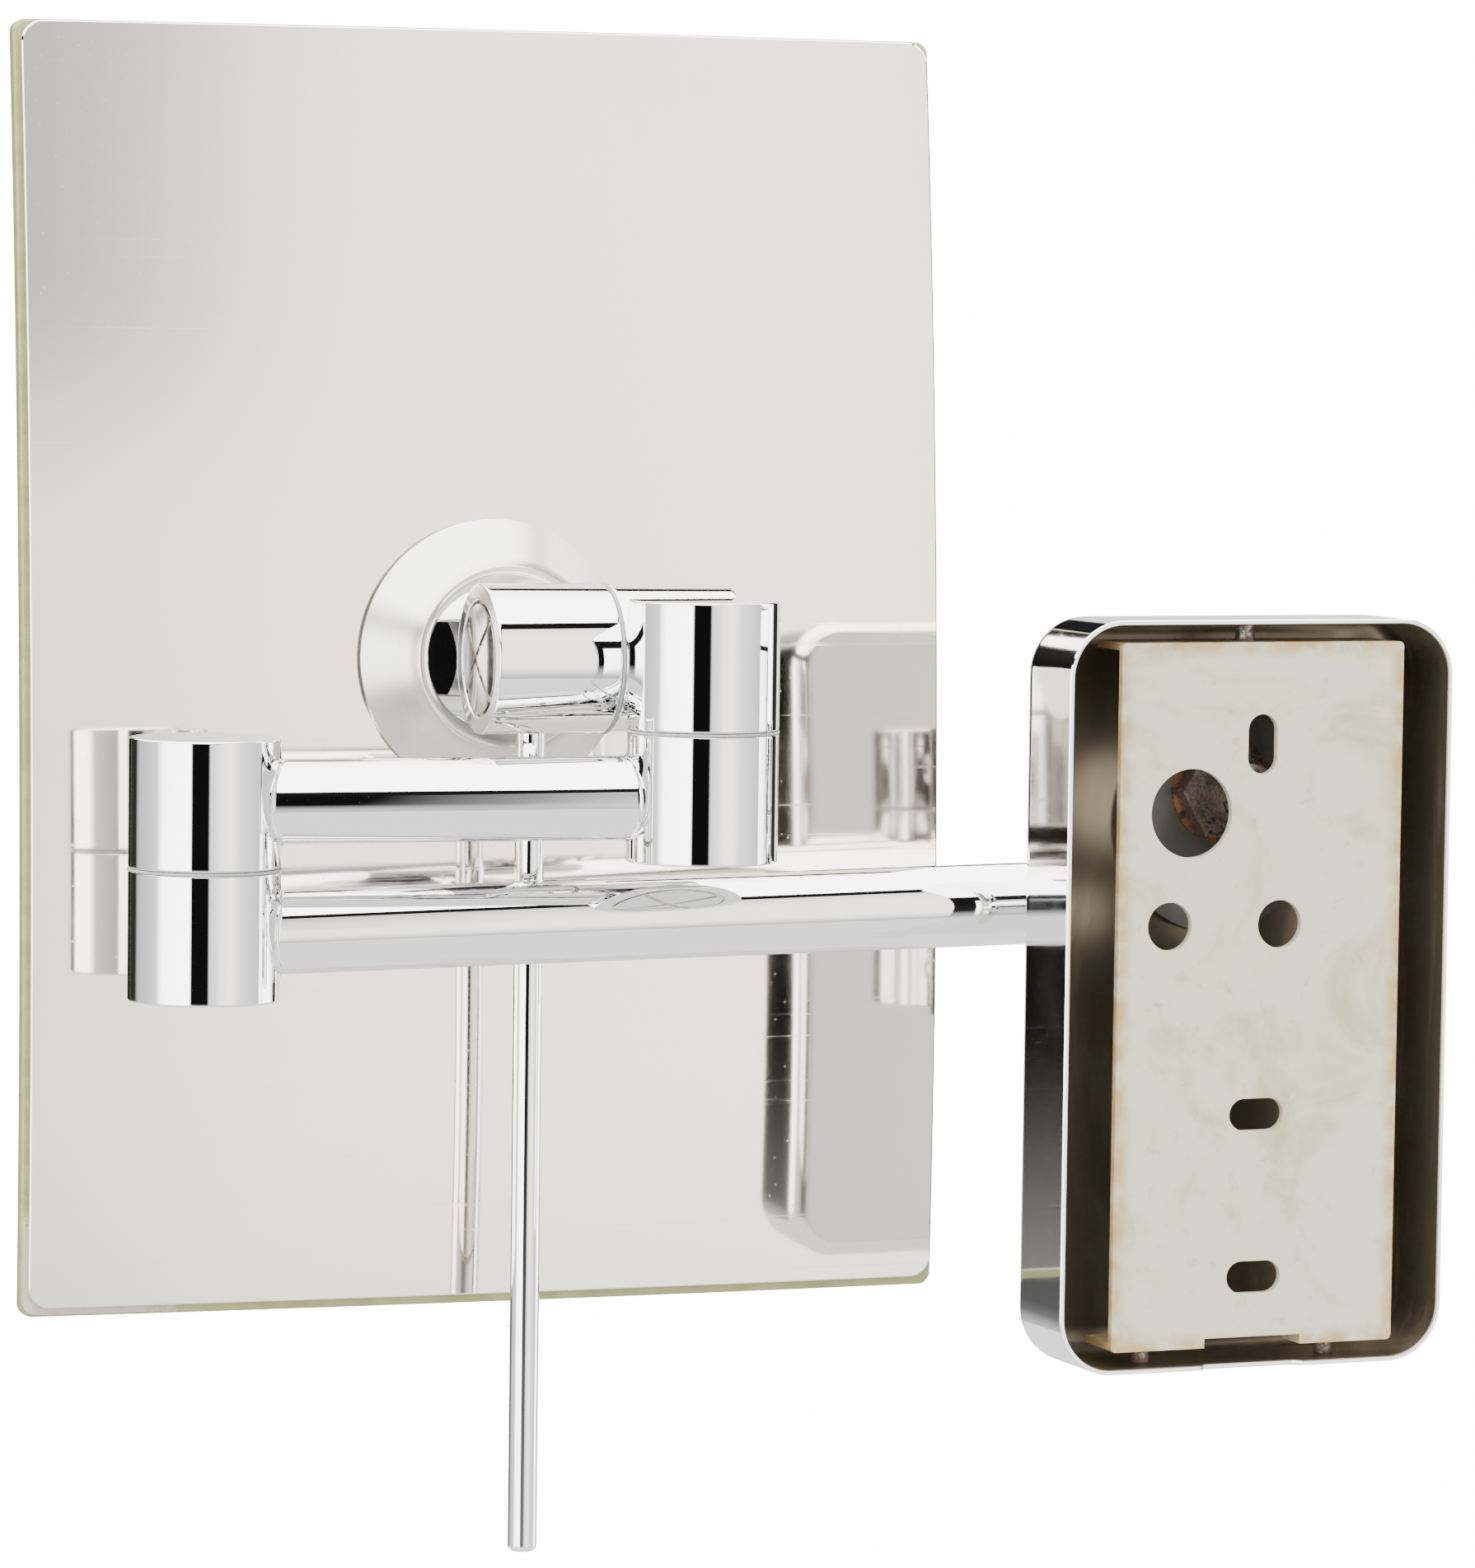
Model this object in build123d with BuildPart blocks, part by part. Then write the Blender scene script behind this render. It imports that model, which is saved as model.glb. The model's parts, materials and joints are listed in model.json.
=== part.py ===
"""Extendable shaving mirror: a wall box, a two-link swing arm and a tilting magnifying mirror.

The origin is the centre of the mounting bracket's back face, which lies on the wall. +Z is up,
+Y points into the wall, and the arm folds away along +X. All sizes are in millimetres.
"""

import os
from math import asin, cos, degrees, radians, sin

from build123d import *

os.makedirs("parts", exist_ok=True)

# Wall box
box_width = 66.0
box_height = 117.0
box_depth = 17.5
box_wall = 0.8
box_corner = 9.0
box_front_edge = 3.0
rim_slit_width = 16.5
rim_slit_depth = 1.2

# Mounting bracket
bracket_width = 48.5
bracket_height = 110.0
bracket_sheet = 1.2
bracket_flange = 11.0
bracket_corner = 0.8
tall_slot_z = 39.2
slot_spacing = 83.3
middle_slot_z = -18.6
slot_length = 9.3
slot_width = 5.0
access_hole_radius = 6.9
access_hole_x = 12.0
access_hole_z = 28.6
screw_hole_radius = 3.75
screw_hole_spacing = 18.9
screw_hole_centre_x = 6.0
screw_hole_z = 11.1
flange_notch_width = 16.5
flange_notch_depth = 1.5
cover_screw_radius = 1.5
cover_screw_y = -7.0
cover_screw_reach = 1.0
lower_screw_x = 16.0

# Friction hinges: every hinge is a barrel cut across, held by a pin and a spring stack
barrel_radius = 11.7
barrel_half = 19.9
barrel_chamfer = 0.35
joint_gap = 0.45
washer_clearance = 0.05
washer_proud = 0.1
pin_radius = 3.0
pin_clearance = 0.05
washer_bore = 3.3
pin_depth = 13.0
web = 4.0
cavity_radius = 9.0
spring_height = 3.0
spring_bore = 3.4
spring_radius = 7.0
spring_leaves = 3
head_gap = 0.3
head_radius = 6.0
head_height = 2.6
cap_height = 3.0
cap_recess = 0.9
cap_face_radius = 8.55
cap_rise = 0.5
cap_crown = 0.5
cap_slot_width = 0.9
cap_slot_depth = 0.9

# Wall hinge: three sections on one pin
wall_standoff = 30.8
outer_section = 14.5
middle_section = 21.4
outer_pin_depth = 11.0
outer_web = 3.0
outer_spring_height = 2.0
outer_head_height = 2.2
boss_radius = 6.5
nipple_radius = 4.8
nipple_bore = 3.3
nipple_inner_end = -4.0
nipple_engagement = 7.0
nut_across_flats = 14.3
nut_height = 3.8
lock_washer_radius = 8.2
lock_washer_sheet = 0.8
lock_washer_teeth = 12
lock_tooth_depth = 1.3
lock_tooth_width = 1.1
disc_radius = 17.5
disc_sheet = 1.2
disc_drop = 5.0
hinge_screw_radius = 2.0
hinge_screw_head_radius = 3.8
hinge_screw_head_height = 2.4
hinge_screw_engagement = 2.2

# Arms
tube_radius = 6.5
tube_bore = 5.3
lower_arm_length = 158.0
upper_arm_length = 76.3
wall_level = 12.6
elbow_level = 9.0
swivel_level = 30.5
lower_arm_angle = -5.0
upper_arm_angle = 164.6

# Mirror head
head_yaw = -3.1
panel_tilt = 2.8
tilt_offset = 19.5
plate_distance = 22.3
panel_drop = 1.5
neck_shift = 0.95
glass_width = 152.0
glass_height = 203.0
glass_thickness = 3.0
glass_corner = 2.0
pad_thickness = 0.8
pad_margin = 3.0
plate_thickness = 1.2
plate_side_margin = 0.9
plate_top_margin = 0.35
plate_bottom_margin = 1.55
plate_corner_cut = 3.4
plate_radius = 1220.0
neck_width = 18.0
neck_height = 11.4
neck_flange_radius = 17.0
neck_flange_thickness = 2.4
flange_screw_circle = 15.0
flange_screw_radius = 1.5
flange_screw_head_radius = 2.3
flange_screw_head_height = 1.2
dish_radius = 22.0
dish_rim_height = 1.0
dish_crest_radius = 13.9
dish_crest_height = 8.6
dish_well_radius = 11.4
dish_sheet = 0.8
rod_radius = 2.3
rod_offset = 4.5
rod_length = 141.0
rod_end_radius = 1.4
rod_socket_depth = 2.4

# Places worked out from the driving dimensions
UP = Vector(0, 0, 1)
DOWN = Vector(0, 0, -1)
level_step = barrel_half + joint_gap
upper_elbow_level = elbow_level + level_step
tilt_level = swivel_level + level_step
lower_direction = Vector(cos(radians(lower_arm_angle)), sin(radians(lower_arm_angle)), 0)
upper_direction = Vector(cos(radians(upper_arm_angle)), sin(radians(upper_arm_angle)), 0)
head_direction = Vector(cos(radians(head_yaw)), sin(radians(head_yaw)), 0)
head_back = UP.cross(head_direction)
wall_hinge = Vector(0, -wall_standoff, 0)
elbow = wall_hinge + lower_direction * lower_arm_length
swivel = elbow + upper_direction * upper_arm_length
tilt_centre = swivel - head_back * tilt_offset + UP * tilt_level
rod_centre = tilt_centre + head_direction * level_step
neck_centre = rod_centre + head_direction * neck_shift
panel_front = -head_back * cos(radians(panel_tilt)) - UP * sin(radians(panel_tilt))
cover_front = -box_depth
cover_inside = cover_front + box_wall
outer_section_centre = middle_section / 2 + joint_gap + outer_section / 2
nipple_level = wall_level + outer_section_centre
hinge_screw_level = wall_level - outer_section_centre


def upright(place, level, direction):
    """A level plane at a place in plan, with its X axis along a direction."""
    return Plane(origin=(place.X, place.Y, level), x_dir=direction, z_dir=UP)


def axial(plane):
    """The plane that holds another plane's X axis and its normal, for outlines to revolve."""
    return Plane(origin=plane.origin, x_dir=plane.x_dir, z_dir=plane.y_dir * -1)


elbow_joint = Plane(
    origin=(elbow.X, elbow.Y, elbow_level + barrel_half / 2), x_dir=lower_direction, z_dir=DOWN
)
swivel_joint = Plane(
    origin=(swivel.X, swivel.Y, swivel_level + barrel_half / 2), x_dir=upper_direction, z_dir=DOWN
)
tilt_joint = Plane(
    origin=tilt_centre + head_direction * (barrel_half / 2 + joint_gap), x_dir=UP, z_dir=head_direction
)
panel_plane = Plane(origin=neck_centre, x_dir=head_direction, z_dir=panel_front)
wall_joint = Plane(
    origin=(wall_hinge.X, wall_hinge.Y, wall_level - middle_section / 2 - joint_gap),
    x_dir=(1, 0, 0),
    z_dir=DOWN,
)


def turned(plane, outline):
    """Revolve an outline of (radius, height) points about a plane's normal."""
    with BuildSketch(axial(plane)) as section:
        with BuildLine():
            Polyline(*outline, close=True)
        make_face()
    revolve(section.sketch, axis=Axis(plane.origin, plane.z_dir))


def rod_along(plane, radius, start, end, mode=Mode.ADD):
    """A round bar or hole between two heights on a plane's normal."""
    with BuildSketch(plane.offset(start)) as disc:
        Circle(radius)
    extrude(disc.sketch, amount=end - start, mode=mode)


def barrel_outline(bottom, top, bore):
    """Half the section of a barrel with broken edges, from one height to another."""
    return [
        (bore, bottom),
        (barrel_radius - barrel_chamfer, bottom),
        (barrel_radius, bottom + barrel_chamfer),
        (barrel_radius, top - barrel_chamfer),
        (barrel_radius - barrel_chamfer, top),
        (bore, top),
    ]


def open_half(plane, length, web_thickness):
    """A barrel section that turns on the pin and holds the spring, open at its far end."""
    turned(plane, barrel_outline(0, length, pin_radius + pin_clearance))
    rod_along(plane, cavity_radius, web_thickness, length, Mode.SUBTRACT)


def solid_half(plane, length, depth):
    """A barrel section with a blind hole for the pin's fixed end."""
    turned(plane, barrel_outline(-joint_gap - length, -joint_gap, 0))
    rod_along(plane, pin_radius, -joint_gap - depth, -joint_gap, Mode.SUBTRACT)


def hinge_pin(plane, tail, web_thickness, stack, head):
    """A pin from the fixed section, through the web and the springs, to its head."""
    head_start = web_thickness + stack + head_gap
    rod_along(plane, pin_radius, -tail, head_start)
    rod_along(plane, head_radius, head_start, head_start + head)


def spring_stack(plane, web_thickness, stack):
    """Dished spring washers, stacked face to face against the web."""
    leaf = stack / spring_leaves
    for number in range(spring_leaves):
        low = web_thickness + number * leaf
        inner_low = low if number % 2 == 0 else low + leaf / 2
        outer_low = low + leaf / 2 if number % 2 == 0 else low
        turned(
            plane,
            [
                (spring_bore, inner_low),
                (spring_radius, outer_low),
                (spring_radius, outer_low + leaf / 2),
                (spring_bore, inner_low + leaf / 2),
            ],
        )


def slotted_cap(plane, length):
    """A round plug with a crowned, cross-slotted face, in the open end of a barrel."""
    seat = length - cap_recess
    face = length + cap_rise
    with BuildSketch(axial(plane)) as section:
        with BuildLine():
            Polyline((0, seat - cap_height), (cavity_radius, seat - cap_height), (cavity_radius, seat))
            Line((cavity_radius, seat), (cap_face_radius, seat))
            Line((cap_face_radius, seat), (cap_face_radius, face - cap_crown))
            ThreePointArc(
                (cap_face_radius, face - cap_crown),
                (cap_face_radius / 2, face - cap_crown / 4),
                (0, face),
            )
            Line((0, face), (0, seat - cap_height))
        make_face()
    revolve(section.sketch, axis=Axis(plane.origin, plane.z_dir))
    with BuildSketch(plane.offset(face - cap_slot_depth)) as cross:
        Rectangle(3 * cavity_radius, cap_slot_width, rotation=45)
        Rectangle(3 * cavity_radius, cap_slot_width, rotation=-45)
    extrude(cross.sketch, amount=cap_slot_depth + cap_rise, mode=Mode.SUBTRACT)


def thrust_ring(plane, start):
    """A thin nylon ring in a barrel's joint, a hair wider than the barrel."""
    with BuildSketch(plane.offset(start)) as ring:
        Circle(barrel_radius + washer_proud)
        Circle(washer_bore, mode=Mode.SUBTRACT)
    extrude(ring.sketch, amount=joint_gap - washer_clearance)


def arm_tube(start, start_level, end, end_level):
    """A round tube between two barrels, coped to fit them at both ends."""
    first = Vector(start.X, start.Y, start_level)
    last = Vector(end.X, end.Y, end_level)
    run = last - first
    across = Plane(origin=first, x_dir=run.cross(UP).normalized(), z_dir=run.normalized())
    with BuildSketch(across) as ring:
        Circle(tube_radius)
        Circle(tube_bore, mode=Mode.SUBTRACT)
    extrude(ring.sketch, amount=run.length)
    for place in (first, last):
        level_plane = upright(place, place.Z, head_direction)
        rod_along(level_plane, barrel_radius, -barrel_half, barrel_half, Mode.SUBTRACT)


def save(part, name):
    """Label a finished piece and write it."""
    part.label = name
    export_step(part, f"parts/{name}.step")


# ---------------------------------------------------------------- wall box

with BuildPart() as wall_cover:
    with BuildSketch(Plane.XZ):
        RectangleRounded(box_width, box_height, box_corner)
    extrude(amount=box_depth)
    fillet(wall_cover.faces().sort_by(Axis.Y)[0].edges(), box_front_edge)
    offset(amount=-box_wall, openings=wall_cover.faces().sort_by(Axis.Y)[-1])
    with BuildSketch(Plane.XZ.offset(box_depth)):
        with Locations((0, nipple_level)):
            Circle(nipple_radius)
        with Locations((0, hinge_screw_level)):
            Circle(hinge_screw_radius)
    extrude(amount=-2 * box_wall, mode=Mode.SUBTRACT)
    with BuildSketch(Plane.XY.offset(-box_height / 2)):
        Rectangle(rim_slit_width, 2 * rim_slit_depth)
    extrude(amount=2 * box_wall, mode=Mode.SUBTRACT)
save(wall_cover.part, "wall_cover")

with BuildPart() as mounting_bracket:
    with BuildSketch(Plane.XZ):
        RectangleRounded(bracket_width, bracket_height, bracket_corner)
        with Locations((0, tall_slot_z)):
            SlotOverall(slot_length, slot_width, rotation=90, mode=Mode.SUBTRACT)
        with Locations((0, middle_slot_z), (0, tall_slot_z - slot_spacing)):
            SlotOverall(slot_length, slot_width, mode=Mode.SUBTRACT)
        with Locations((access_hole_x, access_hole_z)):
            Circle(access_hole_radius, mode=Mode.SUBTRACT)
        with Locations((screw_hole_centre_x, screw_hole_z)):
            with GridLocations(screw_hole_spacing, 0, 2, 1):
                Circle(screw_hole_radius, mode=Mode.SUBTRACT)
        with Locations((0, -bracket_height / 2)):
            Rectangle(flange_notch_width, 2 * flange_notch_depth, mode=Mode.SUBTRACT)
    extrude(amount=bracket_sheet)
    for side in (1, -1):
        inner_face = side * (bracket_height / 2 - bracket_sheet)
        with BuildSketch(Plane.XY.offset(inner_face)):
            with Locations((0, -bracket_flange / 2)):
                Rectangle(bracket_width - 2 * bracket_corner, bracket_flange)
        extrude(amount=side * bracket_sheet)
    with BuildSketch(Plane.XY.offset(-bracket_height / 2)):
        Rectangle(flange_notch_width, 3 * bracket_flange)
    extrude(amount=flange_notch_depth, mode=Mode.SUBTRACT)
    with BuildSketch(Plane.XY.offset(-bracket_height / 2)):
        with Locations((0, cover_screw_y)):
            with GridLocations(2 * lower_screw_x, 0, 2, 1):
                Circle(cover_screw_radius)
    extrude(amount=bracket_sheet, mode=Mode.SUBTRACT)
    with BuildSketch(Plane.XY.offset(bracket_height / 2)):
        with Locations((0, cover_screw_y)):
            Circle(cover_screw_radius)
    extrude(amount=-bracket_sheet, mode=Mode.SUBTRACT)
save(mounting_bracket.part, "mounting_bracket")

cover_inner_z = box_height / 2 - box_wall
with BuildPart() as cover_screws:
    with BuildSketch(Plane.XY.offset(-cover_inner_z)):
        with Locations((0, cover_screw_y)):
            with GridLocations(2 * lower_screw_x, 0, 2, 1):
                Circle(cover_screw_radius)
    extrude(amount=cover_inner_z - bracket_height / 2 + bracket_sheet + cover_screw_reach)
    with BuildSketch(Plane.XY.offset(cover_inner_z)):
        with Locations((0, cover_screw_y)):
            Circle(cover_screw_radius)
    extrude(amount=-(cover_inner_z - bracket_height / 2 + bracket_sheet + cover_screw_reach))
save(cover_screws.part, "cover_screws")

nipple_axis = Plane(origin=(0, 0, nipple_level), x_dir=(1, 0, 0), z_dir=(0, -1, 0))
screw_axis = Plane(origin=(0, 0, hinge_screw_level), x_dir=(1, 0, 0), z_dir=(0, -1, 0))
barrel_wall_side = wall_standoff - barrel_radius
disc_seat = -cover_inside - disc_sheet
lock_seat = disc_seat - lock_washer_sheet

with BuildPart() as stiffener_disc:
    with BuildSketch(nipple_axis.offset(disc_seat)):
        with Locations((0, -disc_drop)):
            Circle(disc_radius)
        Circle(nipple_radius, mode=Mode.SUBTRACT)
    extrude(amount=disc_sheet)
save(stiffener_disc.part, "stiffener_disc")

with BuildPart() as toothed_washer:
    with BuildSketch(nipple_axis.offset(lock_seat)):
        Circle(lock_washer_radius)
        Circle(nipple_radius, mode=Mode.SUBTRACT)
        with PolarLocations(lock_washer_radius - lock_tooth_depth / 2, lock_washer_teeth):
            Rectangle(2 * lock_tooth_depth, lock_tooth_width, mode=Mode.SUBTRACT)
    extrude(amount=lock_washer_sheet)
save(toothed_washer.part, "toothed_washer")

with BuildPart() as nipple_nut:
    with BuildSketch(nipple_axis.offset(lock_seat - nut_height)):
        RegularPolygon(nut_across_flats / 2, 6, major_radius=False)
        Circle(nipple_radius, mode=Mode.SUBTRACT)
    extrude(amount=nut_height)
save(nipple_nut.part, "nipple_nut")

with BuildPart() as box_nipple:
    rod_along(nipple_axis, nipple_radius, -nipple_inner_end, barrel_wall_side + nipple_engagement)
    rod_along(nipple_axis, nipple_bore, 0, wall_standoff, Mode.SUBTRACT)
save(box_nipple.part, "box_nipple")

with BuildPart() as upper_boss:
    rod_along(nipple_axis, boss_radius, box_depth, wall_standoff)
    rod_along(nipple_axis, nipple_radius, 0, wall_standoff, Mode.SUBTRACT)
    rod_along(wall_joint, barrel_radius, -box_height, box_height, Mode.SUBTRACT)
save(upper_boss.part, "upper_boss")

with BuildPart() as lower_boss:
    rod_along(screw_axis, boss_radius, box_depth, wall_standoff)
    rod_along(screw_axis, hinge_screw_radius, 0, wall_standoff, Mode.SUBTRACT)
    rod_along(wall_joint, barrel_radius, -box_height, box_height, Mode.SUBTRACT)
save(lower_boss.part, "lower_boss")

with BuildPart() as hinge_screw:
    rod_along(screw_axis, hinge_screw_radius, -cover_inside, barrel_wall_side + hinge_screw_engagement)
    rod_along(screw_axis, hinge_screw_head_radius, -cover_inside - hinge_screw_head_height, -cover_inside)
    with BuildSketch(screw_axis.offset(-cover_inside - hinge_screw_head_height)):
        Rectangle(2 * hinge_screw_head_radius, cap_slot_width)
    extrude(amount=cap_slot_depth, mode=Mode.SUBTRACT)
save(hinge_screw.part, "hinge_screw")

# ---------------------------------------------------------------- wall hinge

middle_bottom = upright(wall_hinge, wall_level - middle_section / 2, lower_direction)
middle_top = upright(wall_hinge, wall_level + middle_section / 2, lower_direction)
upper_section_floor = joint_gap + middle_section + joint_gap
wall_pin_tail = upper_section_floor + outer_pin_depth

with BuildPart() as wall_upper_barrel:
    turned(middle_top, barrel_outline(joint_gap, joint_gap + outer_section, 0))
    rod_along(middle_top, pin_radius, joint_gap, joint_gap + outer_pin_depth, Mode.SUBTRACT)
    rod_along(nipple_axis, nipple_radius, 0, barrel_wall_side + nipple_engagement, Mode.SUBTRACT)
save(wall_upper_barrel.part, "wall_upper_barrel")

with BuildPart() as wall_lower_barrel:
    open_half(wall_joint, outer_section, outer_web)
    rod_along(screw_axis, hinge_screw_radius, 0, barrel_wall_side + hinge_screw_engagement, Mode.SUBTRACT)
save(wall_lower_barrel.part, "wall_lower_barrel")

with BuildPart() as wall_pin:
    hinge_pin(wall_joint, wall_pin_tail, outer_web, outer_spring_height, outer_head_height)
save(wall_pin.part, "wall_pin")

with BuildPart() as wall_spring:
    spring_stack(wall_joint, outer_web, outer_spring_height)
save(wall_spring.part, "wall_spring")

with BuildPart() as wall_cap:
    slotted_cap(wall_joint, outer_section)
save(wall_cap.part, "wall_cap")

with BuildPart() as wall_middle_barrel:
    turned(middle_bottom, barrel_outline(0, middle_section, pin_radius + pin_clearance))
save(wall_middle_barrel.part, "wall_middle_barrel")

with BuildPart() as wall_washers:
    thrust_ring(middle_top, 0)
    thrust_ring(middle_bottom, washer_clearance - joint_gap)
save(wall_washers.part, "wall_washers")

# ---------------------------------------------------------------- lower arm and elbow

with BuildPart() as lower_arm_tube:
    arm_tube(wall_hinge, wall_level, elbow, elbow_level)
save(lower_arm_tube.part, "lower_arm_tube")

with BuildPart() as elbow_lower_barrel:
    open_half(elbow_joint, barrel_half, web)
save(elbow_lower_barrel.part, "elbow_lower_barrel")

with BuildPart() as elbow_spring:
    spring_stack(elbow_joint, web, spring_height)
save(elbow_spring.part, "elbow_spring")

with BuildPart() as elbow_cap:
    slotted_cap(elbow_joint, barrel_half)
save(elbow_cap.part, "elbow_cap")

with BuildPart() as elbow_washer:
    thrust_ring(elbow_joint, washer_clearance - joint_gap)
save(elbow_washer.part, "elbow_washer")

with BuildPart() as elbow_pin:
    hinge_pin(elbow_joint, joint_gap + pin_depth, web, spring_height, head_height)
save(elbow_pin.part, "elbow_pin")

with BuildPart() as elbow_upper_barrel:
    solid_half(elbow_joint, barrel_half, pin_depth)
save(elbow_upper_barrel.part, "elbow_upper_barrel")

# ---------------------------------------------------------------- upper arm and swivel

with BuildPart() as upper_arm_tube:
    arm_tube(elbow, upper_elbow_level, swivel, swivel_level)
save(upper_arm_tube.part, "upper_arm_tube")

with BuildPart() as swivel_lower_barrel:
    open_half(swivel_joint, barrel_half, web)
save(swivel_lower_barrel.part, "swivel_lower_barrel")

with BuildPart() as swivel_spring:
    spring_stack(swivel_joint, web, spring_height)
save(swivel_spring.part, "swivel_spring")

with BuildPart() as swivel_cap:
    slotted_cap(swivel_joint, barrel_half)
save(swivel_cap.part, "swivel_cap")

with BuildPart() as swivel_washer:
    thrust_ring(swivel_joint, washer_clearance - joint_gap)
save(swivel_washer.part, "swivel_washer")

with BuildPart() as swivel_pin:
    hinge_pin(swivel_joint, joint_gap + pin_depth, web, spring_height, head_height)
save(swivel_pin.part, "swivel_pin")

with BuildPart() as swivel_upper_barrel:
    solid_half(swivel_joint, barrel_half, pin_depth)
save(swivel_upper_barrel.part, "swivel_upper_barrel")

# ---------------------------------------------------------------- yoke and tilt joint

with BuildPart() as tilt_fixed_barrel:
    solid_half(tilt_joint, barrel_half, pin_depth)
    rod_along(swivel_joint, barrel_radius, -2 * level_step, level_step, Mode.SUBTRACT)
save(tilt_fixed_barrel.part, "tilt_fixed_barrel")

with BuildPart() as tilt_pin:
    hinge_pin(tilt_joint, joint_gap + pin_depth, web, spring_height, head_height)
save(tilt_pin.part, "tilt_pin")

rod_axis = Plane(origin=rod_centre - head_back * rod_offset, x_dir=head_direction, z_dir=DOWN)
rod_top = barrel_radius - rod_socket_depth

with BuildPart() as tilt_head_barrel:
    open_half(tilt_joint, barrel_half, web)
    rod_along(rod_axis, rod_radius, rod_top, rod_top + barrel_radius, Mode.SUBTRACT)
save(tilt_head_barrel.part, "tilt_head_barrel")

with BuildPart() as tilt_spring:
    spring_stack(tilt_joint, web, spring_height)
save(tilt_spring.part, "tilt_spring")

with BuildPart() as tilt_cap:
    slotted_cap(tilt_joint, barrel_half)
save(tilt_cap.part, "tilt_cap")

with BuildPart() as tilt_washer:
    thrust_ring(tilt_joint, washer_clearance - joint_gap)
save(tilt_washer.part, "tilt_washer")

with BuildPart() as pull_rod:
    rod_along(rod_axis, rod_radius, rod_top, rod_length)
    fillet(pull_rod.faces().sort_by(Axis.Z)[0].edges(), rod_end_radius)
save(pull_rod.part, "pull_rod")

# ---------------------------------------------------------------- mirror head

flange_seat = plate_distance - neck_flange_thickness

with BuildPart() as neck_block:
    with BuildSketch(panel_plane):
        Rectangle(neck_width, neck_height)
    extrude(amount=flange_seat)
    rod_along(tilt_joint, barrel_radius, -joint_gap, barrel_half + joint_gap, Mode.SUBTRACT)
    rod_along(panel_plane, neck_flange_radius, flange_seat, plate_distance)
    with BuildSketch(panel_plane.offset(flange_seat)):
        with PolarLocations(flange_screw_circle, 4, start_angle=45):
            Circle(flange_screw_radius)
    extrude(amount=neck_flange_thickness, mode=Mode.SUBTRACT)
save(neck_block.part, "neck_block")

plate_depth = plate_distance + plate_thickness
with BuildPart() as flange_screws:
    with BuildSketch(panel_plane.offset(flange_seat)):
        with PolarLocations(flange_screw_circle, 4, start_angle=45):
            Circle(flange_screw_radius)
    extrude(amount=plate_depth - flange_seat)
    with BuildSketch(panel_plane.offset(flange_seat - flange_screw_head_height)):
        with PolarLocations(flange_screw_circle, 4, start_angle=45):
            Circle(flange_screw_head_radius)
    extrude(amount=flange_screw_head_height)
save(flange_screws.part, "flange_screws")

with BuildPart() as escutcheon:
    with BuildSketch(axial(panel_plane)):
        with BuildLine() as dish_outline:
            Polyline(
                (dish_radius, plate_distance),
                (dish_radius, plate_distance - dish_rim_height),
                (dish_crest_radius + dish_sheet, plate_distance - dish_crest_height + dish_sheet / 2),
            )
            ThreePointArc(
                (dish_crest_radius + dish_sheet, plate_distance - dish_crest_height + dish_sheet / 2),
                (dish_crest_radius, plate_distance - dish_crest_height),
                (dish_crest_radius - dish_sheet, plate_distance - dish_crest_height + dish_sheet / 2),
            )
            Polyline(
                (dish_crest_radius - dish_sheet, plate_distance - dish_crest_height + dish_sheet / 2),
                (dish_well_radius, flange_seat),
                (dish_well_radius + dish_sheet, flange_seat),
                (dish_crest_radius, plate_distance - dish_crest_height + 2 * dish_sheet),
                (dish_radius - dish_sheet, plate_distance - dish_sheet / 2),
                (dish_radius - dish_sheet, plate_distance),
                (dish_radius, plate_distance),
            )
        make_face()
    revolve(axis=Axis(panel_plane.origin, panel_plane.z_dir))
save(escutcheon.part, "escutcheon")


def curved_sheet(width, height, corner, depth, thickness, rise=0):
    """A rectangular sheet with its faces on spheres about one centre in front of the mirror."""
    middle = panel_plane.origin - panel_plane.y_dir * panel_drop - panel_plane.x_dir * neck_shift
    centre = middle + panel_plane.z_dir * (plate_distance + plate_radius)
    flat = Plane(origin=middle, x_dir=panel_plane.x_dir, z_dir=panel_plane.z_dir)
    outer_radius = plate_radius + plate_distance - depth
    reach = glass_height / 2
    with BuildSketch(flat) as outline:
        with Locations((0, rise)):
            RectangleRounded(width, height, corner)
    extrude(outline.sketch, amount=reach)
    poles = Plane(origin=centre, x_dir=panel_plane.x_dir, z_dir=panel_plane.y_dir)
    with Locations(Location(poles)):
        Sphere(outer_radius, mode=Mode.INTERSECT)
        Sphere(outer_radius - thickness, mode=Mode.SUBTRACT)


with BuildPart() as back_plate:
    curved_sheet(
        glass_width - 2 * plate_side_margin,
        glass_height - plate_top_margin - plate_bottom_margin,
        plate_corner_cut,
        plate_distance,
        plate_thickness,
        (plate_bottom_margin - plate_top_margin) / 2,
    )
    with BuildSketch(panel_plane):
        with PolarLocations(flange_screw_circle, 4, start_angle=45):
            Circle(flange_screw_radius)
    extrude(amount=plate_depth + plate_thickness, mode=Mode.SUBTRACT)
save(back_plate.part, "back_plate")

with BuildPart() as adhesive_pad:
    curved_sheet(
        glass_width - 2 * pad_margin,
        glass_height - 2 * pad_margin,
        plate_corner_cut,
        plate_depth,
        pad_thickness,
    )
    with BuildSketch(panel_plane):
        with PolarLocations(flange_screw_circle, 4, start_angle=45):
            Circle(flange_screw_radius)
    extrude(amount=plate_depth + 2 * pad_thickness, mode=Mode.SUBTRACT)
save(adhesive_pad.part, "adhesive_pad")

with BuildPart() as mirror_glass:
    curved_sheet(
        glass_width, glass_height, glass_corner, plate_depth + pad_thickness, glass_thickness
    )
save(mirror_glass.part, "mirror_glass")
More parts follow.
